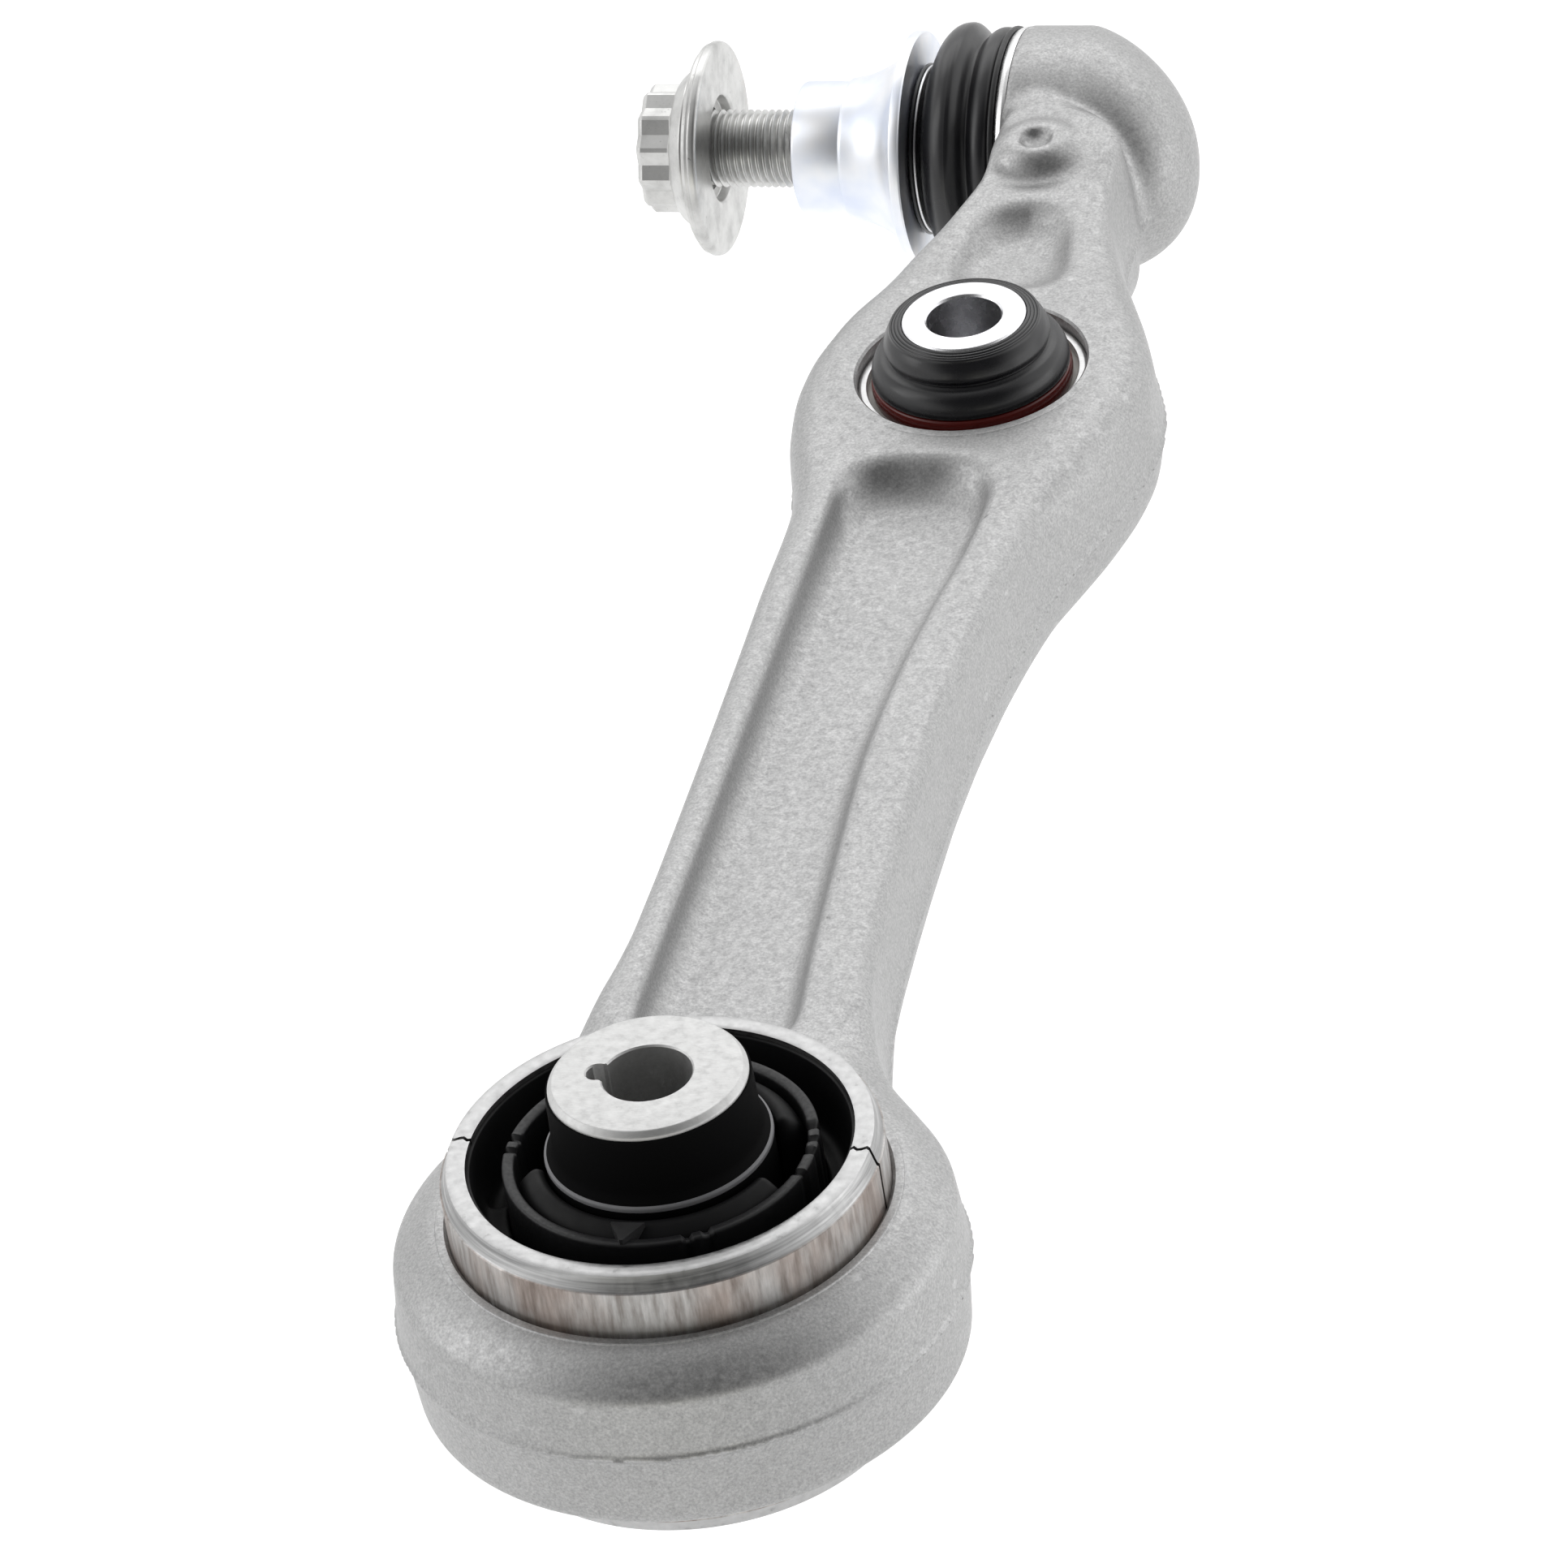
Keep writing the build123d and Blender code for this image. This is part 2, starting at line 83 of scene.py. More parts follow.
SHELL_R = reach("bush_shell_front", 1, 0)
SHELL_TOP = reach("bush_shell_front", 1, 2)
CORE_TOP = reach("bush_core", 1, 2)
CAGE_R = reach("bush_cage", 1, 0)
CAGE_TOP = reach("bush_cage", 1, 2)
RACE_R = reach("strut_race", 1, 0) - STRUT[0]
RACE_TOP = reach("strut_race", 1, 2)
SLEEVE_TOP = reach("strut_sleeve", 1, 2)
FLANGE_R = reach("ball_stud", 1, 2)
STUD_END = -reach("ball_stud", 0, 0)
WASHER_FACE = -reach("clamp_washer", 1, 0)
WASHER_BACK = -reach("clamp_washer", 0, 0)
WASHER_R = reach("clamp_washer", 1, 2)
BOLT_TIP = -reach("knuckle_bolt", 1, 0)
HEAD_END = -reach("knuckle_bolt", 0, 0)
CLAMP_OUT = -reach("boot_clamp_large", 0, 0)
CLAMP_IN = -reach("boot_clamp_large", 1, 0)
CLAMP_R = reach("boot_clamp_large", 1, 2)
SMALL_IN = -reach("boot_clamp_small", 1, 0)
SMALL_OUT = -reach("boot_clamp_small", 0, 0)
SMALL_R = reach("boot_clamp_small", 1, 2)


# ------------------------------------------------------------------ materials
class Look:
    """A procedural material, built node by node."""

    def __init__(self, name, metallic, roughness):
        self.material = bpy.data.materials.new(name)
        self.material.use_nodes = True
        self.tree = self.material.node_tree
        self.shader = self.tree.nodes["Principled BSDF"]
        self.shader.inputs["Metallic"].default_value = metallic
        self.shader.inputs["Roughness"].default_value = roughness
        self.place = self.tree.nodes.new("ShaderNodeTexCoord").outputs["Object"]

    def stretched(self, scale):
        """The object's own coordinates, scaled differently along each axis."""
        node = self.tree.nodes.new("ShaderNodeMapping")
        node.inputs["Scale"].default_value = scale
        self.tree.links.new(self.place, node.inputs["Vector"])
        return node.outputs["Vector"]

    def noise(self, scale, detail=3.0, rough=0.55, vector=None):
        """Cloudy noise over the object's own coordinates, or over stretched ones."""
        node = self.tree.nodes.new("ShaderNodeTexNoise")
        node.inputs["Scale"].default_value = scale
        node.inputs["Detail"].default_value = detail
        node.inputs["Roughness"].default_value = rough
        self.tree.links.new(vector or self.place, node.inputs["Vector"])
        return node.outputs["Fac"]

    def ramp(self, factor, stops):
        """Stops are (position, colour), where a colour is one grey or three numbers."""
        node = self.tree.nodes.new("ShaderNodeValToRGB")
        node.color_ramp.elements[0].position = stops[0][0]
        node.color_ramp.elements[1].position = stops[-1][0]
        for place, _ in stops[1:-1]:
            node.color_ramp.elements.new(place)
        for element, (_, colour) in zip(node.color_ramp.elements, stops):
            rgb = (colour,) * 3 if isinstance(colour, float) else colour
            element.color = (*rgb, 1.0)
        self.tree.links.new(factor, node.inputs["Fac"])
        return node.outputs["Color"]

    def mix(self, kind, factor, a, b):
        """Two colours mixed. Each input is a socket, a number or three numbers."""
        node = self.tree.nodes.new("ShaderNodeMix")
        node.data_type = "RGBA"
        node.blend_type = kind
        for socket, value in ((node.inputs["Factor"], factor), (node.inputs[6], a), (node.inputs[7], b)):
            if isinstance(value, bpy.types.NodeSocket):
                self.tree.links.new(value, socket)
            elif isinstance(value, float):
                socket.default_value = value
            else:
                socket.default_value = (*value, 1.0)
        return node.outputs[2]

    def bump(self, height, strength, depth_mm, under=None):
        """A bumped normal, laid over another one if under is given."""
        node = self.tree.nodes.new("ShaderNodeBump")
        node.inputs["Strength"].default_value = strength
        node.inputs["Distance"].default_value = depth_mm * MM
        self.tree.links.new(height, node.inputs["Height"])
        if under is not None:
            self.tree.links.new(under, node.inputs["Normal"])
        return node.outputs["Normal"]

    def height_mask(self, axis, low, high):
        """0 below low and 1 above high along one row axis, in mm."""
        split = self.tree.nodes.new("ShaderNodeSeparateXYZ")
        self.tree.links.new(self.place, split.inputs["Vector"])
        node = self.tree.nodes.new("ShaderNodeMapRange")
        node.inputs["From Min"].default_value = low * MM
        node.inputs["From Max"].default_value = high * MM
        self.tree.links.new(split.outputs[axis], node.inputs["Value"])
        return node.outputs["Result"]

    def wear(self, low, high):
        """1 on convex edges and 0 elsewhere."""
        geometry = self.tree.nodes.new("ShaderNodeNewGeometry")
        return self.ramp(geometry.outputs["Pointiness"], [(low, 0.0), (high, 1.0)])

    def finish(self, colour=None, rough=None, normal=None):
        """Links what was made to the shader and hands back the material."""
        for source, target in ((colour, "Base Color"), (rough, "Roughness"), (normal, "Normal")):
            if source is not None:
                self.tree.links.new(source, self.shader.inputs[target])
        return self.material


def forged_look():
    """Shot-blasted aluminium: fine sparkle, dull pits and a slow mottling."""
    look = Look("forged_aluminium", 0.9, 0.5)
    grain = look.noise(1900, 4.0, 0.7)
    pits = look.noise(620, 3.0, 0.6)
    cloud = look.noise(30, 4.0, 0.55)
    tone = look.ramp(grain, [
        (0.34, (0.36, 0.36, 0.362)), (0.5, (0.45, 0.45, 0.45)), (0.66, (0.545, 0.545, 0.542)),
    ])
    cloudy = look.mix("MULTIPLY", 0.45, tone, look.ramp(cloud, [(0.3, 0.86), (0.7, 1.0)]))
    worn = look.mix("SCREEN", look.wear(0.53, 0.62), cloudy, (0.16, 0.16, 0.16))
    rough = look.ramp(pits, [(0.3, 0.40), (0.7, 0.58)])
    fine = look.bump(grain, 0.28, 0.07)
    return look.finish(worn, rough, look.bump(pits, 0.16, 0.12, fine))


def shell_look():
    """Turned aluminium shell: clean rim, brown-grey drag marks where it was pressed in."""
    look = Look("turned_shell", 1.0, 0.3)
    streak = look.noise(620, 4.0, 0.6, look.stretched((1, 1, 0.16)))
    broad = look.noise(95, 3.0, 0.55, look.stretched((1, 1, 0.5)))
    side = look.ramp(streak, [
        (0.32, (0.30, 0.28, 0.265)), (0.5, (0.44, 0.43, 0.42)), (0.68, (0.58, 0.57, 0.56)),
    ])
    stain = look.ramp(broad, [(0.36, (0.70, 0.60, 0.55)), (0.62, (1.0, 1.0, 1.0))])
    side = look.mix("MULTIPLY", 0.9, side, stain)
    specks = look.noise(420, 4.0, 0.65)
    rim = look.ramp(specks, [(0.26, 0.28), (0.38, 0.43), (0.75, 0.51)])
    turning = look.noise(1500, 3.0, 0.6, look.stretched((0.03, 0.03, 1)))
    cone = look.ramp(turning, [(0.32, 0.24), (0.5, 0.38), (0.68, 0.52)])
    above = look.height_mask("Z", SHELL_TOP - 3.1, SHELL_TOP - 2.9)
    below = look.height_mask("Z", 3.1 - SHELL_TOP, 2.9 - SHELL_TOP)
    on_top = look.height_mask("Z", SHELL_TOP - 0.25, SHELL_TOP - 0.15)
    colour = look.mix("MIX", above, side, cone)
    colour = look.mix("MIX", on_top, colour, rim)
    colour = look.mix("MIX", below, colour, rim)
    rough = look.ramp(streak, [(0.3, 0.46), (0.7, 0.30)])
    return look.finish(colour, rough, look.bump(streak, 0.20, 0.05))


def scaled(tone, factor):
    """A colour made darker or lighter."""
    return tuple(factor * t for t in tone)


def cut_look(name, tone, roughness):
    """A sawn or faced aluminium or steel face: fine crossed scratches and a few dull spots."""
    look = Look(name, 1.0, roughness)
    lines = look.noise(2600, 3.0, 0.6, look.stretched((0.3, 1, 1)))
    spots = look.noise(520, 4.0, 0.65)
    colour = look.ramp(lines, [(0.3, scaled(tone, 0.90)), (0.7, tone)])
    colour = look.mix("MULTIPLY", 0.5, colour, look.ramp(spots, [(0.3, 0.86), (0.5, 1.0)]))
    rough = look.ramp(spots, [(0.3, roughness + 0.12), (0.7, roughness)])
    return look.finish(colour, rough, look.bump(lines, 0.15, 0.03))


def rubber_look(name, tone, low, high, grain=900, shine=0.5):
    """Moulded rubber: near black, uneven sheen, fine grain and a little dust."""
    look = Look(name, 0.0, low)
    look.shader.inputs["Specular IOR Level"].default_value = shine
    fine = look.noise(grain, 3.0, 0.6)
    slow = look.noise(60, 4.0, 0.6)
    colour = look.ramp(slow, [(0.3, scaled(tone, 0.75)), (0.62, tone), (0.85, scaled(tone, 1.7))])
    rough = look.ramp(slow, [(0.3, low), (0.7, high)])
    return look.finish(colour, rough, look.bump(fine, 0.18, 0.06))


def zinc_look():
    """Bright zinc plate on a turned stud: faint rings and a bluish bloom."""
    look = Look("zinc_plate", 1.0, 0.3)
    rings = look.noise(2600, 2.0, 0.6, look.stretched((1, 0.02, 0.02)))
    bloom = look.noise(70, 3.0, 0.55)
    colour = look.ramp(bloom, [
        (0.32, (0.76, 0.81, 0.93)), (0.5, (0.86, 0.89, 0.95)), (0.68, (0.95, 0.95, 0.96)),
    ])
    rough = look.ramp(bloom, [(0.3, 0.44), (0.7, 0.34)])
    return look.finish(colour, rough, look.bump(rings, 0.12, 0.02))


def bolt_look(name, tone):
    """Plated bolt steel with handling marks and dark specks."""
    look = Look(name, 1.0, 0.28)
    mottle = look.noise(160, 5.0, 0.65)
    specks = look.noise(900, 4.0, 0.7)
    colour = look.ramp(mottle, [(0.3, scaled(tone, 0.78)), (0.55, tone), (0.8, scaled(tone, 1.12))])
    colour = look.mix("MULTIPLY", 0.75, colour, look.ramp(specks, [(0.25, 0.35), (0.36, 1.0)]))
    rough = look.ramp(mottle, [(0.3, 0.44), (0.7, 0.30)])
    return look.finish(colour, rough, look.bump(specks, 0.2, 0.05))


def plastic_look(name, tone, roughness):
    """Moulded plastic with a fine texture."""
    look = Look(name, 0.0, roughness)
    fine = look.noise(1200, 3.0, 0.6)
    colour = look.ramp(look.noise(90, 3.0), [(0.3, scaled(tone, 0.8)), (0.7, scaled(tone, 1.15))])
    rough = look.ramp(fine, [(0.3, roughness - 0.08), (0.7, roughness + 0.1)])
    return look.finish(colour, rough, look.bump(fine, 0.2, 0.05))


LOOKS = {
    "forging": forged_look(),
    "shell": shell_look(),
    "core": cut_look("core_aluminium", (0.62, 0.62, 0.615), 0.46),
    "face": cut_look("turned_housing_face", (0.93, 0.93, 0.93), 0.22),
    "bush_rubber": rubber_look("bush_rubber", (0.0045, 0.0045, 0.005), 0.46, 0.72, 900, 0.22),
    "coat_rubber": rubber_look("coat_rubber", (0.003, 0.003, 0.0032), 0.60, 0.80, 900, 0.06),
    "bush_rim": rubber_look("bush_rim", (0.22, 0.22, 0.23), 0.36, 0.56),
    "bush_plastic": plastic_look("bush_plastic", (0.007, 0.007, 0.008), 0.50),
    # bush_mark: the cage's raised arrow, in a plastic lighter than the cage as painted highlight for the
    # arrow's lit edges
    "bush_mark": plastic_look("bush_mark", (0.035, 0.035, 0.036), 0.40),
    "hidden_plastic": plastic_look("natural_plastic", (0.70, 0.69, 0.65), 0.45),
    "sleeve_steel": cut_look("ground_steel", (0.93, 0.93, 0.95), 0.20),
    "race_steel": cut_look("race_steel", (0.62, 0.62, 0.62), 0.28),
    "boot_rubber": rubber_look("boot_rubber", (0.008, 0.008, 0.010), 0.20, 0.38, 1300, 0.6),
    "band_red": rubber_look("dark_red_band", (0.13, 0.010, 0.007), 0.18, 0.30),
    "clamp_black": plastic_look("black_clamp", (0.016, 0.016, 0.017), 0.38),
    "stud_zinc": zinc_look(),
    "bolt_steel": bolt_look("bolt_steel", (0.64, 0.64, 0.63)),
    "ring_steel": cut_look("ring_steel", (0.75, 0.75, 0.76), 0.25),
}


# ------------------------------------------------------------------ meshes
def mesh_piece(name, points, faces, body, look, nodes=(), sharp_deg=38.0, ride=True):
    """A piece from points in mm: joined, closed, shaded, painted and carried by its body."""
    mesh = bpy.data.meshes.new(name)
    mesh.from_pydata((np.asarray(points, float) * MM).tolist(), [], faces)
    work = bmesh.new()
    work.from_mesh(mesh)
    bmesh.ops.remove_doubles(work, verts=work.verts, dist=1e-7)
    bmesh.ops.dissolve_degenerate(work, edges=work.edges, dist=1e-8)
    bmesh.ops.recalc_face_normals(work, faces=work.faces)
    work.to_mesh(mesh)
    work.free()
    mesh.polygons.foreach_set("use_smooth", [True] * len(mesh.polygons))
    mesh.set_sharp_from_angle(angle=math.radians(sharp_deg))
    piece = bpy.data.objects.new(name, mesh)
    bpy.context.collection.objects.link(piece)
    piece.data.materials.append(LOOKS[look])
    if nodes:
        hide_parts(*nodes)
    if ride:
        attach(piece, body)
    return piece


def rounded(corners, steps=4):
    """A profile from (radius, height, rounding) corners. Radius and height may vary with angle."""
    flat = [np.array(np.broadcast_arrays(np.asarray(corner[0], float), np.asarray(corner[1], float)))
            for corner in corners]
    size = max(p.size // 2 for p in flat)
    flat = [np.broadcast_to(p.reshape(2, -1), (2, size)) for p in flat]
    out = []
    for i, (point, corner) in enumerate(zip(flat, corners)):
        rounding = corner[2] if len(corner) > 2 else 0.0
        if rounding == 0:
            out.append(point)
            continue
        ends = []
        for other in (flat[i - 1], flat[(i + 1) % len(flat)]):
            way = other - point
            length = np.maximum(np.linalg.norm(way, axis=0), 1e-9)
            ends.append(point + way / length * np.minimum(rounding, 0.48 * length))
        for t in np.linspace(0, 1, steps + 1):
            out.append((1 - t) ** 2 * ends[0] + 2 * t * (1 - t) * point + t * t * ends[1])
    return out


def flowing(points, count):
    """A smooth open curve through (radius, height) points, resampled evenly."""
    p = np.array([points[0]] + list(points) + [points[-1]], float)
    dense = []
    for i in range(1, len(p) - 2):
        for t in np.linspace(0, 1, 12, endpoint=False):
            a, b, c, d = p[i - 1:i + 3]
            dense.append(0.5 * (2 * b + (c - a) * t + (2 * a - 5 * b + 4 * c - d) * t ** 2
                                + (3 * b - a - 3 * c + d) * t ** 3))
    dense.append(p[-1])
    dense = np.array(dense)
    along = np.concatenate([[0], np.cumsum(np.linalg.norm(np.diff(dense, axis=0), axis=1))])
    at = np.linspace(0, along[-1], count)
    return [(np.interp(s, along, dense[:, 0]), np.interp(s, along, dense[:, 1])) for s in at]


def lathe_points(axes, profile, angles):
    """Points of a turned shape, profile by profile."""
    origin, e1, e2, up = axes
    around = np.outer(np.cos(angles), e1) + np.outer(np.sin(angles), e2)
    rows = []
    for r, h in profile:
        r = np.broadcast_to(np.asarray(r, float).reshape(-1), angles.shape)
        h = np.broadcast_to(np.asarray(h, float).reshape(-1), angles.shape)
        rows.append(origin + around * r[:, None] + h[:, None] * up)
    return np.concatenate(rows)


def lathe(name, axes, profile, body, look, nodes=(), segments=160, arc=None, sharp_deg=38.0, ride=True,
          angles=None):
    """A piece turned from a closed profile, all the way round or over an arc with capped ends."""
    full = arc is None
    if angles is None:
        angles = np.linspace(0, TAU, segments, endpoint=False) if full else np.linspace(*arc, segments)
    points = lathe_points(axes, profile, angles)
    count, rows = len(angles), len(profile)
    faces = []
    for i in range(rows):
        j = (i + 1) % rows
        for s in range(count if full else count - 1):
            t = (s + 1) % count
            faces.append((i * count + s, i * count + t, j * count + t, j * count + s))
    if not full:
        faces.append([i * count for i in range(rows)])
        faces.append([i * count + count - 1 for i in reversed(range(rows))])
    return mesh_piece(name, points, faces, body, look, nodes, sharp_deg, ride)


def wrapped(degrees, centre):
    """Angle from centre, in degrees, between -180 and 180."""
    return (degrees - centre + 180) % 360 - 180


def bump_at(degrees, centre, half, soft):
    """1 within half degrees of centre, falling to 0 over soft degrees."""
    return np.clip((half + soft - np.abs(wrapped(degrees, centre))) / soft, 0, 1)


def smoothstep(a, b, x):
    """0 at a and 1 at b, smooth between them."""
    t = np.clip((x - a) / (b - a), 0, 1)
    return t * t * (3 - 2 * t)


# ------------------------------------------------------------------ the forging
EYE_R = 51.05
HOUSING_R = 25.1
DOME_START, DOME_LENGTH = -1.1, 23.0
# Half widths of the arm at its parting line, as (y, distance) pairs on each side of the row's YZ plane.
RIGHT_EDGE = (
    (28, 37), (34, 35.6), (38, 33.6), (42, 31.2), (50, 27), (60, 24), (70, 22.1), (80, 20.9), (94, 19.8),
    (110, 19), (125, 18.4), (150, 17.8), (170, 18.2), (191, 19.6), (205, 21.2), (213, 22.4), (220, 23.6),
    (228, 26.0), (241, 29.6), (255, 32.6), (266, 33.6), (278, 32.2), (290, 28.0), (300, 23.8), (308, 20.2),
    (317, 16.8), (328, 13.9), (340, 13.6), (366, 14),
)
LEFT_EDGE = (
    (28, 38.5), (34, 37.2), (38, 35.4), (42, 33.6), (50, 31.4), (60, 29.8), (68, 28.6), (80, 27.6),
    (100, 27.4), (145, 27.7), (172, 28.1), (200, 28.7), (216, 29.3), (227, 30.1), (236, 32.6),
    (247, 35.6), (261, 37.6), (273, 37.2), (288, 33.8), (300, 28.4), (311, 24.2), (318, 20.6),
    (333, 15.2), (340, 14.6), (366, 14.4),
)
# The same way: the long pocket's right side, half the forging's thickness, and half the dish's width.
POCKET_RIGHT = (
    (40, 12), (55, 11.2), (75, 9.1), (103, 7.2), (118, 6.2), (134, 5.3), (150, 5.3), (171, 6.3), (188, 7.8),
    (204, 10), (218, 10.8), (240, 10.6),
)
TOP_HEIGHT = (
    (40, 16.2), (66, 16.5), (225, 16.6), (245, 17), (305, 17), (322, 17.4), (333, 18.4), (342, 20.6),
    (352, 21.3), (366, 21.3),
)
DISH_HALF = ((290, 13.2), (300, 12.9), (309, 11.6), (317, 10.2), (324, 9.0), (330, 8))
PARTING = -2.0                     # height of the forging's parting line
FLASH = -2.1                       # height of the trimmed flash on it
ARM_START, ARM_END = 30, 361       # the arm's block, along Y
POCKET_LEFT, POCKET_START, POCKET_END, POCKET_FLOOR = -20.4, 45.0, 235.6, 9.2
DISH_MIDDLE, DISH_START, DISH_END, DISH_FLOOR = -2.2, 296.0, 325.0, 12.6
HOUSING_FACE = 14.4                # from the ball's centre out to the housing's open face
BOSS_X, BOSS_Y, BOSS_R, BOSS_TOP = -4.0, 342.4, 6.2, 22.2
CAVITY_R, CAVITY_DEPTH = 19.6, 15.4


def smoothed(pairs):
    """Rows of y and value for a knotted line with its corners rounded off."""
    knots = np.array(pairs, float)
    y = np.arange(knots[0, 0], knots[-1, 0] + 0.5, 0.5)
    weights = np.exp(-0.5 * (np.arange(-16, 17) / 6) ** 2)
    value = np.pad(np.interp(y, *knots.T), 16, mode="reflect", reflect_type="odd")
    return y, np.convolve(value, weights / weights.sum(), mode="valid")


CURVES = {name: smoothed(pairs) for name, pairs in (
    ("right", RIGHT_EDGE), ("left", LEFT_EDGE), ("pocket", POCKET_RIGHT), ("top", TOP_HEIGHT),
    ("dish", DISH_HALF),
)}


def soft_min(a, b, k):
    """The smaller of two fields, with the crease between them filled over a width k."""
    h = np.clip(0.5 + 0.5 * (b - a) / k, 0, 1)
    return b + (a - b) * h - k * h * (1 - h)


def soft_max(a, b, k):
    """The larger of two fields, with the edge between them rounded over a width k."""
    return -soft_min(-a, -b, k)


def curve(name, y):
    """One of the knotted lines at y."""
    return np.interp(y, *CURVES[name])


def ellipsoid(x, y, z, centre, radii):
    """0 on an ellipsoid and negative inside it."""
    return np.sqrt(sum(((p - c) / r) ** 2 for p, c, r in zip((x, y, z), centre, radii))) - 1


def arm_outline(x, y):
    """Signed distance, about, to the outline seen along Z, without the ball housing."""
    sides = np.maximum(x - curve("right", y), -x - curve("left", y)) * 0.94
    shoulder = y + 0.45 * np.clip(x + 6, 0, None) - ARM_END
    arm = np.maximum(soft_max(sides, shoulder, 9.0), ARM_START - y)
    return soft_min(np.hypot(x, y) - EYE_R, arm, 4.0)


def ball_housing(x, y, z):
    """Signed distance, about, to the housing: a barrel with a leaning, rounded end."""
    dx = x - BALL[0]
    past = np.maximum(dx - DOME_START, 0)
    around = np.hypot(y - BALL[1] + 0.38 * past, z - 0.04 * past)
    dome = 12 * ((around / HOUSING_R) ** 2.2 + (past / DOME_LENGTH) ** 1.62 - 1)
    return np.where(dx < DOME_START, around - HOUSING_R, dome)


def blank(x, y, z):
    """The outer block: drafted sides with the flash line, a crowned big eye and rounded edges."""
    big_eye = smoothstep(66, 40, y)
    small_eye = smoothstep(188, 226, y) * smoothstep(322, 296, y)
    beam = smoothstep(62, 84, y)
    neck = smoothstep(312, 330, y)
    flash = 0.6 * np.exp(-((z - FLASH) / 0.6) ** 2) + 0.4 * smoothstep(-2.5, -1.7, z)
    draft = (0.07 + 0.02 * big_eye) * np.abs(z - PARTING) - flash
    edge = arm_outline(x, y) + draft
    crown = 0.062 * big_eye * np.clip(10 + edge, 0, 10.5) ** 2
    top = curve("top", y)
    body = soft_max(edge, z - top + crown, 4.4 + 3.6 * small_eye - 3.2 * big_eye - 2.0 * neck)
    return soft_max(body, -z - top - 2.2 * (1 - beam), 3.0 + 9.0 * beam)


def pocketed(body, x, y, up):
    """The long pocket in the beam and the dish in the neck, on both faces."""
    across = soft_max(POCKET_LEFT - x, x - curve("pocket", y), 1.0)
    along = np.maximum(y - POCKET_END + 0.4 * (16.5 - up), POCKET_START - y)
    pocket = soft_max(across, along, 13.0) + 0.30 * (16.5 - up)
    body = soft_max(body, -soft_max(pocket, POCKET_FLOOR - up, 4.4), 2.0)
    across = np.abs(x - DISH_MIDDLE) - curve("dish", y)
    along = np.maximum(y - DISH_END, DISH_START - y)
    dish = soft_max(across, along, 10.0) + 0.82 * (17.0 - up)
    return soft_max(body, -soft_max(dish, DISH_FLOOR - up, 3.8), 1.6)


def with_housing(body, x, y, z):
    """The ball housing joined on, and the space in front of its face kept clear."""
    dx = x - BALL[0]
    around = np.hypot(y - BALL[1], z)
    housing = soft_max(ball_housing(x, y, z), -(dx + HOUSING_FACE), 1.2)
    body = soft_min(body, housing, 3.4)
    return np.maximum(body, np.minimum(-(dx + HOUSING_FACE), HOUSING_R + 7 - around))


def with_boss(body, x, y, up):
    """The small dimpled boss on the neck, with a shallow valley before it."""
    valley = ellipsoid(x, y, up, (BOSS_X, 334.0, 22.6), (7.5, 4.0, 5.0))
    body = soft_max(body, -3.5 * valley, 3.0)
    boss = soft_max(np.hypot(x - BOSS_X, y - BOSS_Y) - BOSS_R, up - BOSS_TOP, 3.0)
    body = soft_min(body, boss, 5.0)
    dimple = 2.0 * ellipsoid(x, y, up, (BOSS_X, 342.2, 22.4), (3.2, 3.0, 1.9))
    return soft_max(body, -dimple, 1.0)


def bored(body, x, y, z):
    """The bores of both eyes, wide enough for the separate lips, and the ball's cavity."""
    body = np.maximum(body, SHELL_R + 1.0 - np.hypot(x, y))
    body = np.maximum(body, RACE_R + 1.2 - np.hypot(x - STRUT[0], y - STRUT[1]))
    dx = x - BALL[0]
    around = np.hypot(y - BALL[1], z)
    reach_in = np.clip(dx / CAVITY_DEPTH, 0, None)
    cavity = 16.5 * (np.sqrt((around / (CAVITY_R - 0.6 * (dx > 0))) ** 2 + reach_in ** 2) - 1)
    return np.maximum(body, -cavity)


def forging(x, y, z):
    """Signed distance, about, to the forged arm: negative inside."""
    up = np.abs(z)
    body = blank(x, y, z)
    body = pocketed(body, x, y, up)
    body = with_housing(body, x, y, z)
    body = with_boss(body, x, y, up)
    return bored(body, x, y, z)


def net(field, low, high, step):
    """Quads of the zero surface of a field, one point per mixed cell, drawn onto the surface."""
    axes = [np.arange(a, b + s, s) for a, b, s in zip(low, high, step)]
    inside = field(*np.meshgrid(*axes, indexing="ij")) < 0
    count = sum(
        inside[i:i - 1 or None, j:j - 1 or None, k:k - 1 or None].astype(np.int8)
        for i in (0, 1) for j in (0, 1) for k in (0, 1)
    )
    mixed = (count > 0) & (count < 8)
    number = np.full(mixed.shape, -1)
    number[mixed] = np.arange(mixed.sum())
    step = np.array(step)
    middle = np.array(low) + (np.argwhere(mixed) + 0.5) * step
    points = middle.copy()
    for _ in range(5):
        slope = np.stack([(field(*(points + d).T) - field(*(points - d).T)) / 0.1
                          for d in 0.05 * np.eye(3)], axis=1)
        pull = field(*points.T) / np.maximum((slope ** 2).sum(axis=1), 0.05)
        points = points - np.clip(pull, -0.6, 0.6)[:, None] * slope
        points = np.clip(points, middle - 0.75 * step, middle + 0.75 * step)
    faces = []
    for axis in range(3):
        a, b = [k for k in range(3) if k != axis]
        here = np.swapaxes(inside, 0, axis)
        crossing = np.argwhere(np.swapaxes(here[:-1] != here[1:], 0, axis))
        crossing = crossing[(crossing[:, a] > 0) & (crossing[:, b] > 0)]
        crossing = crossing[(crossing[:, a] < mixed.shape[a]) & (crossing[:, b] < mixed.shape[b])]
        corners = []
        for da, db in ((1, 1), (0, 1), (0, 0), (1, 0)):
            cell = crossing.copy()
            cell[:, a] -= da
            cell[:, b] -= db
            corners.append(number[tuple(cell.T)])
        faces.append(np.stack(corners, axis=1))
    return points, np.concatenate(faces).tolist()


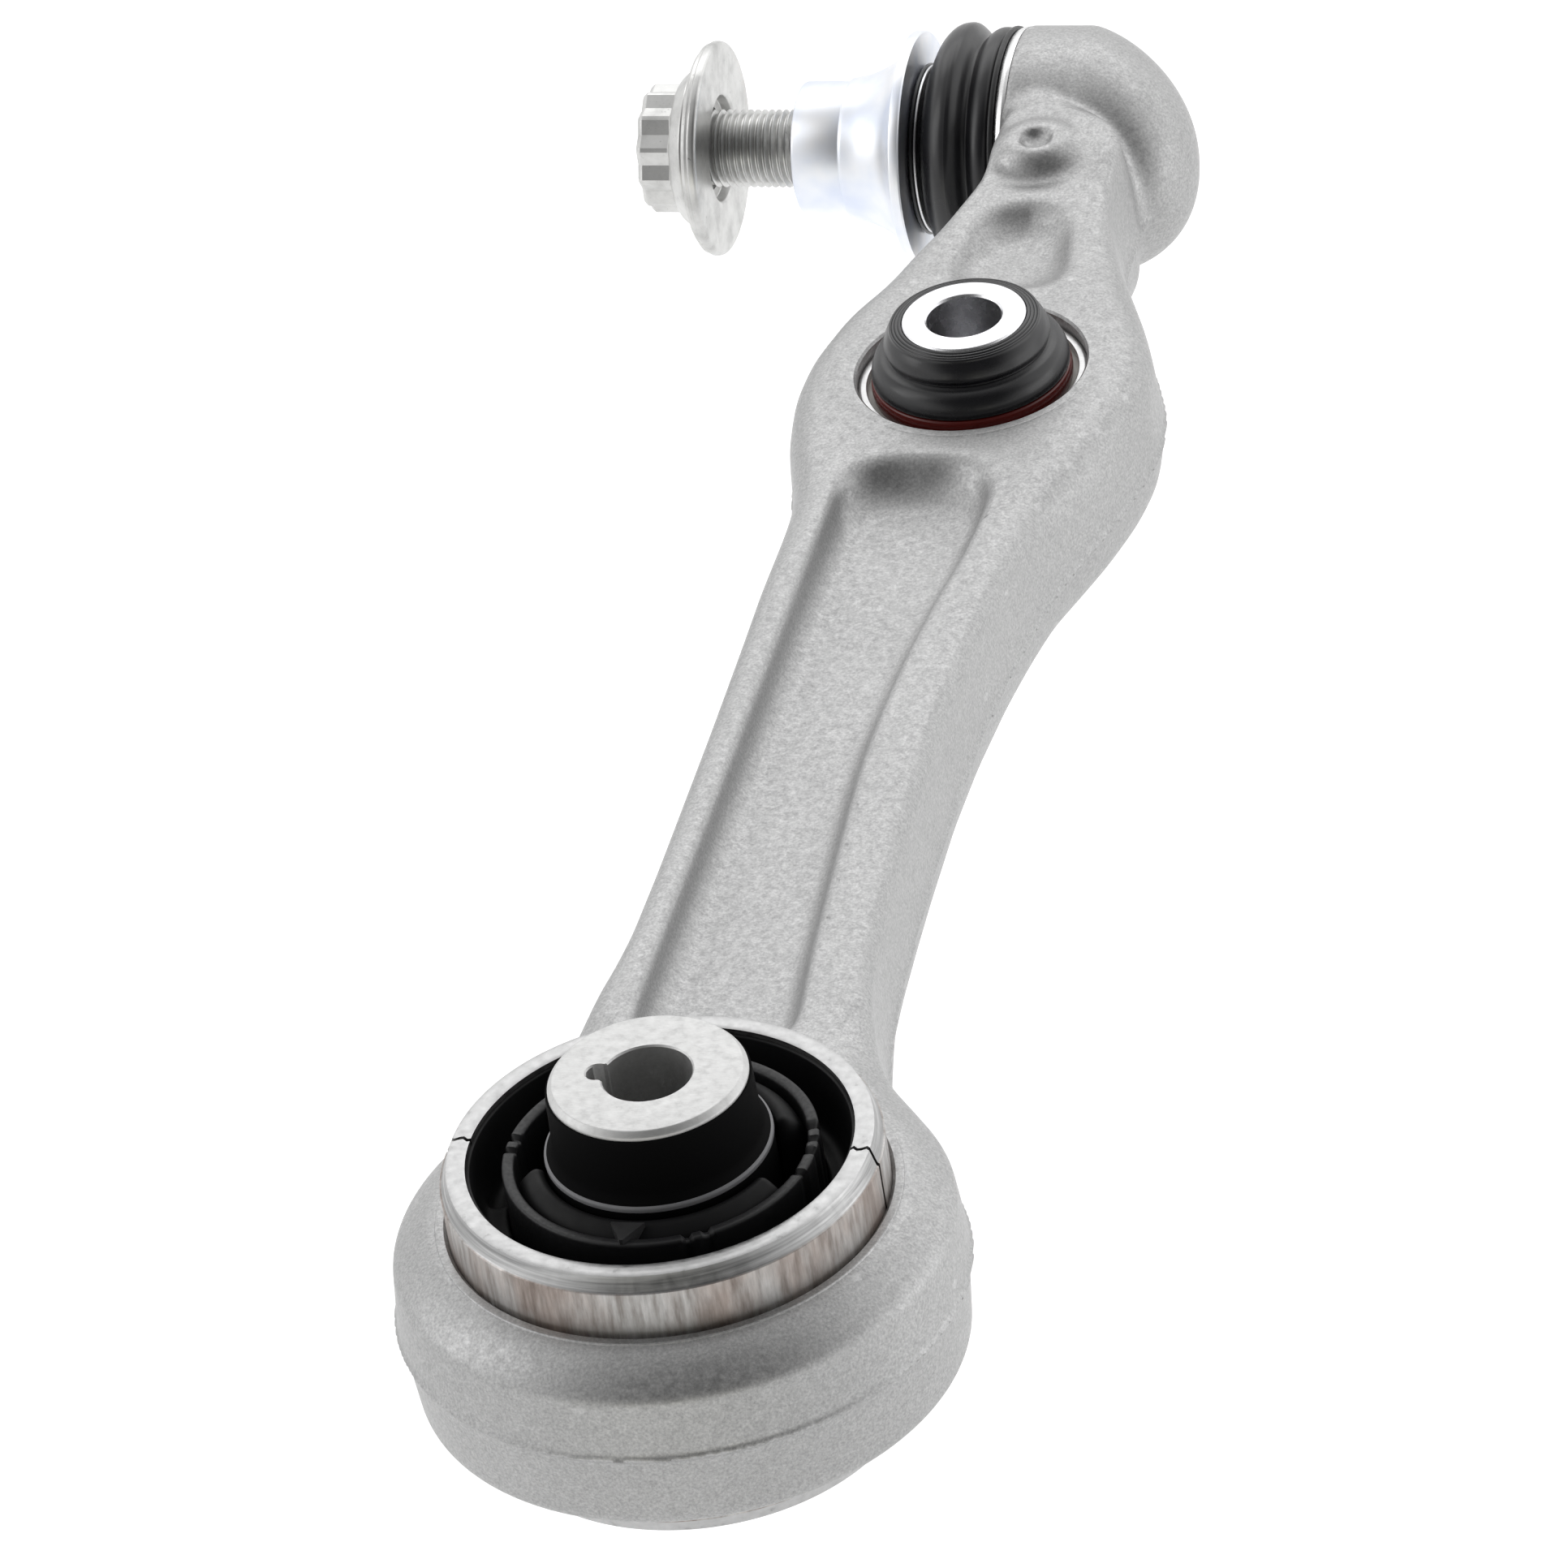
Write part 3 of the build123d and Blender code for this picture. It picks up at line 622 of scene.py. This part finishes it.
NET_LOW, NET_HIGH = (-57, -57, -27), (57, 403, 27)
NET_STEP = ((0.85, 0.85, 0.5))
points, quads = net(forging, NET_LOW, NET_HIGH, NET_STEP)
mesh_piece("arm_forging_body", points, quads, "arm", "forging", ("arm_forging",), sharp_deg=60)


def bored_edge(name, axes, radius, low, high, chamfer):
    """The clean machined lip of a bore through the forging."""
    lathe(name, axes, rounded([
        (radius, low + chamfer), (radius + chamfer, low), (radius + 2.2, low, 0.2),
        (radius + 2.6, low + 1.2), (radius + 2.6, high - 1.2), (radius + 2.2, high, 0.2),
        (radius + chamfer, high), (radius, high - chamfer),
    ]), "arm", "forging", segments=220)


bored_edge("shell_bore_lip", BUSH_AXES, SHELL_R + 0.04, -18.3, 16.25, 0.7)
bored_edge("race_bore_lip", STRUT_AXES, RACE_R + 0.03, -17.0, 17.02, 0.45)

lathe("housing_turned_face", BALL_AXES, rounded([
    (19.62, 14.2), (24.9, 14.2), (25.0, 14.9, 0.3), (24.3, CLAMP_IN - 0.05, 0.3), (19.62, CLAMP_IN - 0.05),
]), "arm", "face")


# ------------------------------------------------------------------ hydraulic bush
def shell_half(name, node, start):
    """Half of the two-part shell. Its ends are torn a little, so the split wanders across the rim."""
    wander = ((34.7, 0.1), (35.2, 0.4), (36.0, -0.3), (36.7, -0.1), (37.6, 0.45), (38.1, 0.2))
    top = [(r, SHELL_TOP - 0.15 * (r in (34.7, 38.1))) for r, _ in wander]
    side = [(39.15, SHELL_TOP - 2.8), (39.25, SHELL_TOP - 2.95), (SHELL_R, SHELL_TOP - 3.15)]
    side += [(r, -h) for r, h in reversed(side)]
    profile = top + side + [(r, -h) for r, h in reversed(top)]
    rim_bends = [bend for _, bend in wander]
    bends = rim_bends + [-0.3, -0.35, -0.4, -0.4, -0.35, -0.3] + rim_bends[::-1]
    half_gap = 0.42
    share = np.linspace(0, 1, 140)
    rows = []
    for (r, h), bend in zip(profile, bends):
        first = start + (half_gap + bend) / r
        last = start + math.pi - (half_gap - bend) / r
        angles = first + (last - first) * share
        rows.append(BUSH + r * (np.outer(np.cos(angles), X) + np.outer(np.sin(angles), Y)) + h * Z)
    n, m = len(rows), len(share)
    faces = [(i * m + s, i * m + s + 1, (i + 1) % n * m + s + 1, (i + 1) % n * m + s)
             for i in range(n) for s in range(m - 1)]
    faces += [[i * m for i in range(n)], [i * m + m - 1 for i in reversed(range(n))]]
    mesh_piece(name, np.concatenate(rows), faces, "arm", "shell", (node,))


shell_half("shell_front_half", "bush_shell_front", -math.pi)
shell_half("shell_rear_half", "bush_shell_rear", 0.0)
for side, level in SIDES:
    for turn, word in ((0.0, "right"), (math.pi, "left")):
        lathe(f"split_filler_{level}_{word}", BUSH_AXES, rounded([
            (34.8, side * 4.0), (39.3, side * 4.0), (39.3, side * 24.9), (38.9, side * 25.3),
            (37.9, side * 27.4, 0.3), (34.8, side * 27.6, 0.3),
        ]), "arm", "bush_rubber", segments=5, arc=(turn - 0.03, turn + 0.03))


def key_bore(radius, slot_half, slot_out):
    """Angles and radii round the core's bore, with its round-ended keyway towards -X."""
    bulb = slot_out - slot_half
    turn = np.linspace(-0.62 * math.pi, 0.62 * math.pi, 61)
    key = np.stack([-bulb - slot_half * np.cos(turn), -slot_half * np.sin(turn)], axis=1)
    key = key[np.hypot(*key.T) > radius]
    first = math.atan2(key[-1, 1], key[-1, 0]) + TAU * (key[-1, 1] < 0)
    last = math.atan2(key[0, 1], key[0, 0]) + TAU * (key[0, 1] < 0)
    low, high = min(first, last), max(first, last)
    round_part = np.linspace(high + 0.03, low - 0.03 + TAU, 300)
    key_angles = np.arctan2(key[:, 1], key[:, 0]) % TAU
    order = np.argsort(key_angles)
    angles = np.concatenate([key_angles[order], round_part])
    radii = np.concatenate([np.hypot(*key.T)[order], np.full(300, radius)])
    return angles, radii


core_r = reach("bush_core", 1, 0)
core_angles, bore = key_bore(8.1, 2.35, 11.1)
lathe("bush_core_sleeve", BUSH_AXES, rounded([
    (bore + 0.3, -CORE_TOP), (core_r - 0.9, -CORE_TOP, 0.2), (core_r, 1.0 - CORE_TOP, 0.3),
    (core_r, CORE_TOP - 1.0, 0.3), (core_r - 0.9, CORE_TOP, 0.2), (bore + 0.3, CORE_TOP),
    (bore, CORE_TOP - 0.3), (bore, 0.3 - CORE_TOP),
]), "bush_core", "core", ("bush_core",), angles=core_angles)

for side, word in SIDES:
    half = [(core_r + 0.02, 42.2), (core_r + 0.35, 42.3), (core_r + 0.5, 41.2), (18.5, 37.0), (18.7, 33.0),
            (19.0, 30.9), (19.7, 29.9), (20.1, 29.2), (20.3, 27.5), (20.38, 20.0), (20.38, 0.0),
            (core_r + 0.02, 0.0)]
    skin = flowing(half[:-2], 40) + half[-2:]
    lathe(f"core_coat_{word}", BUSH_AXES, [(r, side * h) for r, h in skin], "bush_core", "coat_rubber",
          ("bush_core_coat",))
    rim = rounded([
        (19.2, side * 28.4), (20.45, side * 28.4, 0.2), (20.45, side * 29.3, 0.3), (19.2, side * 29.9),
    ])
    lathe(f"core_rim_{word}", BUSH_AXES, rim, "bush_core", "bush_rim")

degrees = np.linspace(0, 360, 240, endpoint=False)
NOTCHES = (-12.8, 0.2, 7.8, 16.6, 176.5, -176.2, -67.0, -58.8, 120.0)
notch = sum(bump_at(degrees, at, 1.0, 0.8) for at in NOTCHES)
block = (bump_at(degrees, 12.2, 3.6, 0.6) + bump_at(degrees, -63.0, 3.2, 0.6)
         + bump_at(degrees, 180.0, 2.6, 0.6))
for side, word in SIDES:
    top = CAGE_TOP - 0.9 * np.clip(notch, 0, 1) - 0.15 * np.clip(block, 0, 1)
    outside = CAGE_R - 0.1 - 0.5 * np.clip(notch, 0, 1)
    lathe(f"cage_ring_{word}", BUSH_AXES, rounded([
        (CAGE_R - 2.4, side * 7.5), (outside, side * 7.5), (outside, side * top, 0.8),
        (CAGE_R - 2.35, side * (top - 0.25), 0.7),
    ]), "arm", "bush_plastic", ("bush_cage",), 240)

    front_lobe = bump_at(degrees, -91.0, 68.0, 14.0)
    rear_lobe = bump_at(degrees, 84.0, 60.0, 14.0)
    lobes = np.sqrt(smoothstep(0, 1, front_lobe + rear_lobe))
    inner = 12.0 + 16.1 * lobes
    outer = 11.0 + 14.9 * lobes
    node = f"bush_spring_{word}"
    lathe(f"rubber_lobes_{word}", BUSH_AXES, rounded([
        (20.8, side * 8.6), (25.95, side * 8.6), (25.95, side * (outer - 2.6)), (25.3, side * outer, 2.2),
        (22.4, side * (inner + 0.1), 1.2), (20.8, side * (inner - 0.9), 0.5),
    ]), "arm", "bush_rubber", (node,), 240)

    waves = 0.5 * np.sin(np.radians(degrees) * 3)
    ribs = 1.4 * bump_at(degrees, -92.0, 0.8, 1.0) + 3.0 * bump_at(degrees, 200.0, 9.0, 5.0)
    lathe(f"rubber_trough_{word}", BUSH_AXES, rounded([
        (CAGE_R + 0.05, side * 9.2), (34.66, side * 9.2), (34.66, side * 27.2), (34.0, side * 27.3, 0.4),
        (33.4, side * 20.0, 1.0), (32.2, side * (14.6 + waves + ribs), 2.2),
        (CAGE_R + 0.05, side * (15.0 + waves + ribs), 1.0),
    ]), "arm", "bush_rubber", (f"bush_seal_{word}",), 240)

# The raised arrow on the cage; its lighter bush_mark colour is painted highlight for its lit edges
arrow_outline = [(-3.1, -23.0), (3.1, -23.0), (0.3, -28.1), (-0.3, -28.1)]
arrow_corners = [(x - 0.3, y, h) for h in (26.0, CAGE_TOP + 0.9) for x, y in arrow_outline]
arrow_faces = [(0, 3, 2, 1), (4, 5, 6, 7), (0, 1, 5, 4), (1, 2, 6, 5), (2, 3, 7, 6), (3, 0, 4, 7)]
mesh_piece("cage_arrow", arrow_corners, arrow_faces, "arm", "bush_mark", sharp_deg=20)

# ------------------------------------------------------------------ strut bearing
STRUT_BALL_R = 17.5
sleeve_ball = [(STRUT_BALL_R * math.cos(a), STRUT_BALL_R * math.sin(a))
               for a in np.radians(np.linspace(-53.9, 53.9, 29))]
lathe("strut_ball_sleeve", STRUT_AXES, rounded([
    (7.8, -SLEEVE_TOP, 0.2), (12.0, -SLEEVE_TOP, 0.3), (12.3, 0.4 - SLEEVE_TOP, 0.2), (12.3, -26.8),
    (10.3, -24.4), *sleeve_ball, (10.3, 24.4), (12.3, 26.8), (12.3, SLEEVE_TOP - 0.4, 0.2),
    (12.0, SLEEVE_TOP, 0.3), (7.8, SLEEVE_TOP, 0.2), (7.4, SLEEVE_TOP - 0.5), (7.4, 0.5 - SLEEVE_TOP),
]), "strut_sleeve", "sleeve_steel", ("strut_sleeve",))

lathe("strut_race_ring", STRUT_AXES, rounded([
    (RACE_R - 1.8, -RACE_TOP, 0.2), (RACE_R - 0.5, -RACE_TOP, 0.3), (RACE_R, 0.5 - RACE_TOP, 0.2),
    (RACE_R, RACE_TOP - 0.5, 0.2), (RACE_R - 0.5, RACE_TOP, 0.3), (RACE_R - 1.8, RACE_TOP, 0.2),
]), "arm", "race_steel", ("strut_race",))

BOOT_SPLIT = 22.3
for side, word in SIDES:
    lathe(f"strut_red_band_{word}", STRUT_AXES, rounded([
        (18.5, side * 13.05), (19.6, side * 13.05, 0.3), (19.9, side * 15.0, 0.7), (19.6, side * 16.6, 0.5),
        (18.5, side * 16.6),
    ]), "arm", "band_red", (f"strut_band_{word}",))
    skirt = flowing([(19.0, 16.7), (19.45, 16.9), (19.5, 17.9), (19.2, 19.3), (18.6, 20.6), (17.6, 21.5),
                     (16.5, 21.95), (15.9, BOOT_SPLIT)], 40)
    skirt += [(15.0, BOOT_SPLIT), (16.6, 19.5), (17.4, 16.7)]
    lower = lathe(f"strut_boot_{word}_skirt", STRUT_AXES, [(r, side * h) for r, h in skirt],
                  "arm", "boot_rubber", (f"strut_boot_{word}",), ride=False, sharp_deg=60)
    crown = flowing([(15.9, BOOT_SPLIT), (15.9, 22.7), (16.25, 23.2), (16.35, 24.0), (15.95, 25.4),
                     (15.45, 26.4), (15.0, 27.1), (14.9, 27.5)], 36)
    lip = [(14.9, 27.5), (14.75, 27.75), (14.45, 27.75), (14.35, 27.62), (14.2, 27.85), (13.85, 27.9),
           (13.75, 27.78), (13.6, 28.02), (13.2, 28.1), (13.05, 27.98), (12.9, 28.2), (12.45, 28.2)]
    inside = [(12.42, 27.5), (13.4, 27.45), (13.9, 24.2), (14.6, 23.0), (15.0, BOOT_SPLIT)]
    upper = lathe(f"strut_boot_{word}_crown", STRUT_AXES, [(r, side * h) for r, h in crown + lip + inside],
                  "arm", "boot_rubber", (f"strut_boot_{word}",), ride=False, sharp_deg=60)
    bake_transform(lower)
    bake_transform(upper)

# ------------------------------------------------------------------ ball joint
lathe("boot_clamp_band", BALL_AXES, rounded([
    (20.6, CLAMP_IN), (CLAMP_R - 0.2, CLAMP_IN, 0.3), (CLAMP_R, CLAMP_IN + 0.6, 0.3),
    (CLAMP_R - 0.2, CLAMP_OUT, 0.4), (20.6, CLAMP_OUT),
]), "arm", "clamp_black", ("boot_clamp_large",))

BULGE = 26.3
foot = flowing([(24.2, CLAMP_OUT + 0.05), (24.75, 18.6), (24.7, 20.0), (24.0, 21.3), (22.9, 22.4),
                (23.2, 23.3), (24.7, 24.5), (25.6, 25.5), (25.8, BULGE)], 60)
foot += [(23.5, BULGE), (22.6, 24.8), (20.9, 23.0), (21.6, 20.5), (21.8, CLAMP_OUT + 0.05)]
crown = flowing([(25.8, BULGE), (25.65, 27.6), (25.0, 29.0), (23.4, 30.6), (21.0, 31.9), (18.6, 32.9),
                 (17.1, 33.5), (16.6, SMALL_IN - 0.05)], 60)
crown += [(14.15, SMALL_IN - 0.05), (14.15, 32.6), (17.6, 31.0), (21.2, 29.4), (23.2, 27.6), (23.5, BULGE)]
boot_foot = lathe("ball_boot_foot", BALL_AXES, foot, "arm", "boot_rubber", ("ball_boot",),
                  ride=False, sharp_deg=60)
boot_crown = lathe("ball_boot_crown", BALL_AXES, crown, "arm", "boot_rubber", ("ball_boot",),
                   ride=False, sharp_deg=60)
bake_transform(boot_foot)
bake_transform(boot_crown)

lathe("boot_small_ring", BALL_AXES, rounded([
    (14.1, SMALL_IN), (SMALL_R - 0.5, SMALL_IN, 0.15), (SMALL_R - 0.4, SMALL_IN + 0.5, 0.15),
    (14.1, SMALL_IN + 0.5),
]), "boot_ring", "ring_steel", ("boot_clamp_small",))
lathe("boot_small_lip", BALL_AXES, rounded([
    (14.1, SMALL_IN + 0.52), (SMALL_R - 0.3, SMALL_IN + 0.52, 0.3), (SMALL_R, SMALL_OUT - 0.5, 0.4),
    (SMALL_R - 0.9, SMALL_OUT, 0.4), (14.1, SMALL_OUT),
]), "boot_ring", "boot_rubber")

BALL_R = 13.5
STUD_R = 13.8
flange_front = SMALL_OUT + 0.2
stud_ball = [(BALL_R * math.cos(a), BALL_R * math.sin(a)) for a in np.radians(np.linspace(-84, 54.7, 40))]
flare = [(FLANGE_R - 0.5, 38.4), (21.4, 39.2), (18.9, 41.0), (17.0, 43.6), (15.4, 47.2), (14.5, 51.2)]
lathe("ball_stud_body", BALL_AXES, [
    (0.0, -BALL_R), *stud_ball, (7.8, 18.5), (8.3, 20.0), (13.9, 31.0), (13.9, flange_front - 0.1),
    (14.1, flange_front), (FLANGE_R - 0.25, flange_front), (FLANGE_R, flange_front + 0.3), (FLANGE_R, 38.0),
    (FLANGE_R - 0.15, 38.3), *flowing(flare, 30), (14.4, 51.35), (13.95, 51.4), (STUD_R, 51.6),
    (STUD_R, STUD_END - 0.7), (13.55, STUD_END - 0.2), (13.1, STUD_END), (8.7, STUD_END),
    (8.06, STUD_END - 0.7), (8.06, 33.0), (0.0, 30.0),
], "ball_stud", "stud_zinc", ("ball_stud",), sharp_deg=30)


# ------------------------------------------------------------------ bolt and washer
def threaded(start, end, major, minor, pitch):
    """Points and faces of a helical thread between two heights out along the stud axis."""
    per_turn = 72
    turns = (end - start) / pitch - 1
    section = [(0.0, minor), (0.05, minor), (0.45, major), (0.55, major), (0.95, minor), (1.0, minor)]
    steps = int(turns * per_turn)
    t = np.arange(steps + 1)
    angle = t / per_turn * TAU
    fade = np.minimum(1, np.minimum(t, steps - t) / (0.6 * per_turn))
    origin, e1, e2, up = BALL_AXES
    rows = []
    for share, r in section:
        radius = minor + (r - minor) * fade
        height = start + (share + t / per_turn) * pitch
        rows.append(origin + radius[:, None] * (np.outer(np.cos(angle), e1) + np.outer(np.sin(angle), e2))
                    + height[:, None] * up)
    n = steps + 1
    faces = [(i * n + k, i * n + k + 1, (i + 1) * n + k + 1, (i + 1) * n + k)
             for i in range(len(section) - 1) for k in range(steps)]
    return np.concatenate(rows), faces


def hexagon(degrees, across, turn):
    """Radius of a hexagon of that circumradius at each angle."""
    return across * math.cos(math.pi / 6) / np.cos(np.radians((degrees - turn + 30) % 60 - 30))


HEAD_R = 13.4
HEAD_BASE = 87.5                   # height where the flange ends and the twelve points begin
head_deg = np.linspace(0, 360, 360, endpoint=False)
star = np.maximum(hexagon(head_deg, HEAD_R, 0), hexagon(head_deg, HEAD_R, 30))
star = np.minimum(star, HEAD_R - 0.25)
lathe("bolt_head", BALL_AXES, rounded([
    (7.15, WASHER_BACK + 0.12), (16.6, WASHER_BACK + 0.12, 0.2), (17.1, WASHER_BACK + 0.9, 0.4),
    (14.6, HEAD_BASE - 0.5, 0.8), (star, HEAD_BASE, 0.2), (star, HEAD_END - 0.9, 0.3),
    (star - 0.9, HEAD_END, 0.2), (10.3, HEAD_END, 0.2), (9.9, HEAD_END - 0.5, 0.2), (0.0, HEAD_END - 0.5),
    (0.0, WASHER_BACK + 0.12),
]), "bolt", "bolt_steel", ("knuckle_bolt",), 360, sharp_deg=24)
thread_points, thread_faces = threaded(BOLT_TIP + 0.6, WASHER_FACE + 3.6, 7.98, 7.02, 1.5)
mesh_piece("bolt_thread", thread_points, thread_faces, "bolt", "bolt_steel", sharp_deg=28)
lathe("bolt_shank", BALL_AXES, [
    (0.0, BOLT_TIP), (6.3, BOLT_TIP), (7.1, BOLT_TIP + 0.8), (7.1, WASHER_BACK + 0.3),
    (0.0, WASHER_BACK + 0.3),
], "bolt", "bolt_steel", segments=96)

lathe("clamp_washer_disc", BALL_AXES, rounded([
    (8.7, WASHER_FACE + 2.6), (10.5, WASHER_FACE + 2.4, 0.2), (10.9, WASHER_FACE + 0.4, 0.2),
    (11.3, WASHER_FACE, 0.2), (WASHER_R - 0.5, WASHER_FACE, 0.3), (WASHER_R, WASHER_FACE + 0.5, 0.3),
    (WASHER_R, WASHER_FACE + 1.7, 0.2), (WASHER_R - 0.45, WASHER_FACE + 1.9, 0.15),
    (WASHER_R - 0.45, WASHER_FACE + 2.7, 0.2), (WASHER_R - 1.2, WASHER_FACE + 2.9, 0.2),
    (WASHER_R - 1.5, WASHER_FACE + 3.5, 0.3), (17.6, WASHER_BACK, 0.5), (8.7, WASHER_BACK, 0.2),
]), "washer", "bolt_steel", ("clamp_washer",))

# ------------------------------------------------------------------ looks of the CAD nodes that stay
for node, thing in frame["nodes"].items():
    if not thing.hide_render:
        thing.data.materials.clear()
        thing.data.materials.append(LOOKS[slots[node]])

# ------------------------------------------------------------------ floor, light and camera
FLOOR_Z = -0.32
FLOOR_HALF = 60


def pale_floor():
    """A wide pale sheet under the part, lit a little from itself so it stays white."""
    mesh = bpy.data.meshes.new("floor")
    signs = ((-1, -1), (1, -1), (1, 1), (-1, 1))
    mesh.from_pydata([(x * FLOOR_HALF, y * FLOOR_HALF, FLOOR_Z) for x, y in signs], [], [(0, 1, 2, 3)])
    floor = bpy.data.objects.new("floor", mesh)
    bpy.context.collection.objects.link(floor)
    look = Look("pale_floor", 0.0, 0.9)
    look.finish(look.ramp(look.noise(3, 2.0), [(0.3, 0.94), (0.7, 0.96)]))
    look.shader.inputs["Emission Color"].default_value = (1.0, 1.0, 1.0, 1.0)
    look.shader.inputs["Emission Strength"].default_value = 0.30
    floor.data.materials.append(look.material)


def softbox(name, place, size, power, colour=(1.0, 1.0, 1.0)):
    """A rectangular lamp turned towards the middle of the arm."""
    light = bpy.data.lights.new(name, "AREA")
    light.shape = "RECTANGLE"
    light.size, light.size_y = size
    light.energy = power
    light.color = colour
    lamp = bpy.data.objects.new(name, light)
    bpy.context.collection.objects.link(lamp)
    lamp.location = place
    lamp.rotation_euler = (Vector((0, 0.18, 0)) - Vector(place)).to_track_quat("-Z", "Y").to_euler()


def studio_world(view_from):
    """A white room with a grey ceiling and a dark patch on the camera's side."""
    world = bpy.data.worlds.new("studio")
    bpy.context.scene.world = world
    world.use_nodes = True
    tree = world.node_tree
    coord = tree.nodes.new("ShaderNodeTexCoord")

    def along(direction, stops):
        """Grey that changes with how far a ray points along a direction."""
        dot = tree.nodes.new("ShaderNodeVectorMath")
        dot.operation = "DOT_PRODUCT"
        dot.inputs[1].default_value = direction
        tree.links.new(coord.outputs["Generated"], dot.inputs[0])
        ramp = tree.nodes.new("ShaderNodeValToRGB")
        ramp.color_ramp.interpolation = "EASE"
        for element, (place, grey) in zip(ramp.color_ramp.elements, stops):
            element.position = place
            element.color = (grey, grey, grey, 1)
        tree.links.new(dot.outputs["Value"], ramp.inputs["Fac"])
        return ramp.outputs["Color"]

    both = tree.nodes.new("ShaderNodeMix")
    both.data_type = "RGBA"
    both.blend_type = "MULTIPLY"
    both.inputs["Factor"].default_value = 1.0
    tree.links.new(along(view_from, ((0.45, 1.0), (0.90, 0.11))), both.inputs[6])
    tree.links.new(along((0, 0, 1), ((0.20, 1.0), (0.95, 0.62))), both.inputs[7])
    tree.links.new(both.outputs[2], tree.nodes["Background"].inputs["Color"])
    tree.nodes["Background"].inputs["Strength"].default_value = 1.05


def place_camera():
    """Puts up the camera with its long lens, and gives the direction from the part back to it."""
    forward = Vector((-0.258116, 0.786862, -0.560557)).normalized()
    up = Vector((-0.016351, 0.576577, 0.816879))
    right = forward.cross(up).normalized()
    up = right.cross(forward)
    camera = bpy.data.cameras.new("camera")
    camera.sensor_width = 36.0
    camera.lens = 258.65
    camera.clip_end = 20.0
    thing = bpy.data.objects.new("camera", camera)
    bpy.context.collection.objects.link(thing)
    turn = Matrix((right, up, -forward)).transposed().to_4x4()
    thing.matrix_world = Matrix.Translation((0.531436, -1.517444, 1.187412)) @ turn
    bpy.context.scene.camera = thing
    return -forward


pale_floor()
studio_world(place_camera())
softbox("back", (-0.3, 1.4, 1.15), (2.0, 1.0), 7.4)
softbox("side", (-1.7, -0.2, 1.1), (1.0, 1.6), 6)
softbox("rear_right", (1.5, 1.5, 1.1), (2.6, 2.6), 8.5)
softbox("low_right", (1.0, 0.35, -0.05), (0.7, 0.5), 0.9)
softbox("low_front", (0.1, -1.3, -0.22), (1.8, 0.5), 0.8, (1.0, 0.95, 0.60))
bpy.context.scene.view_settings.view_transform = "Standard"
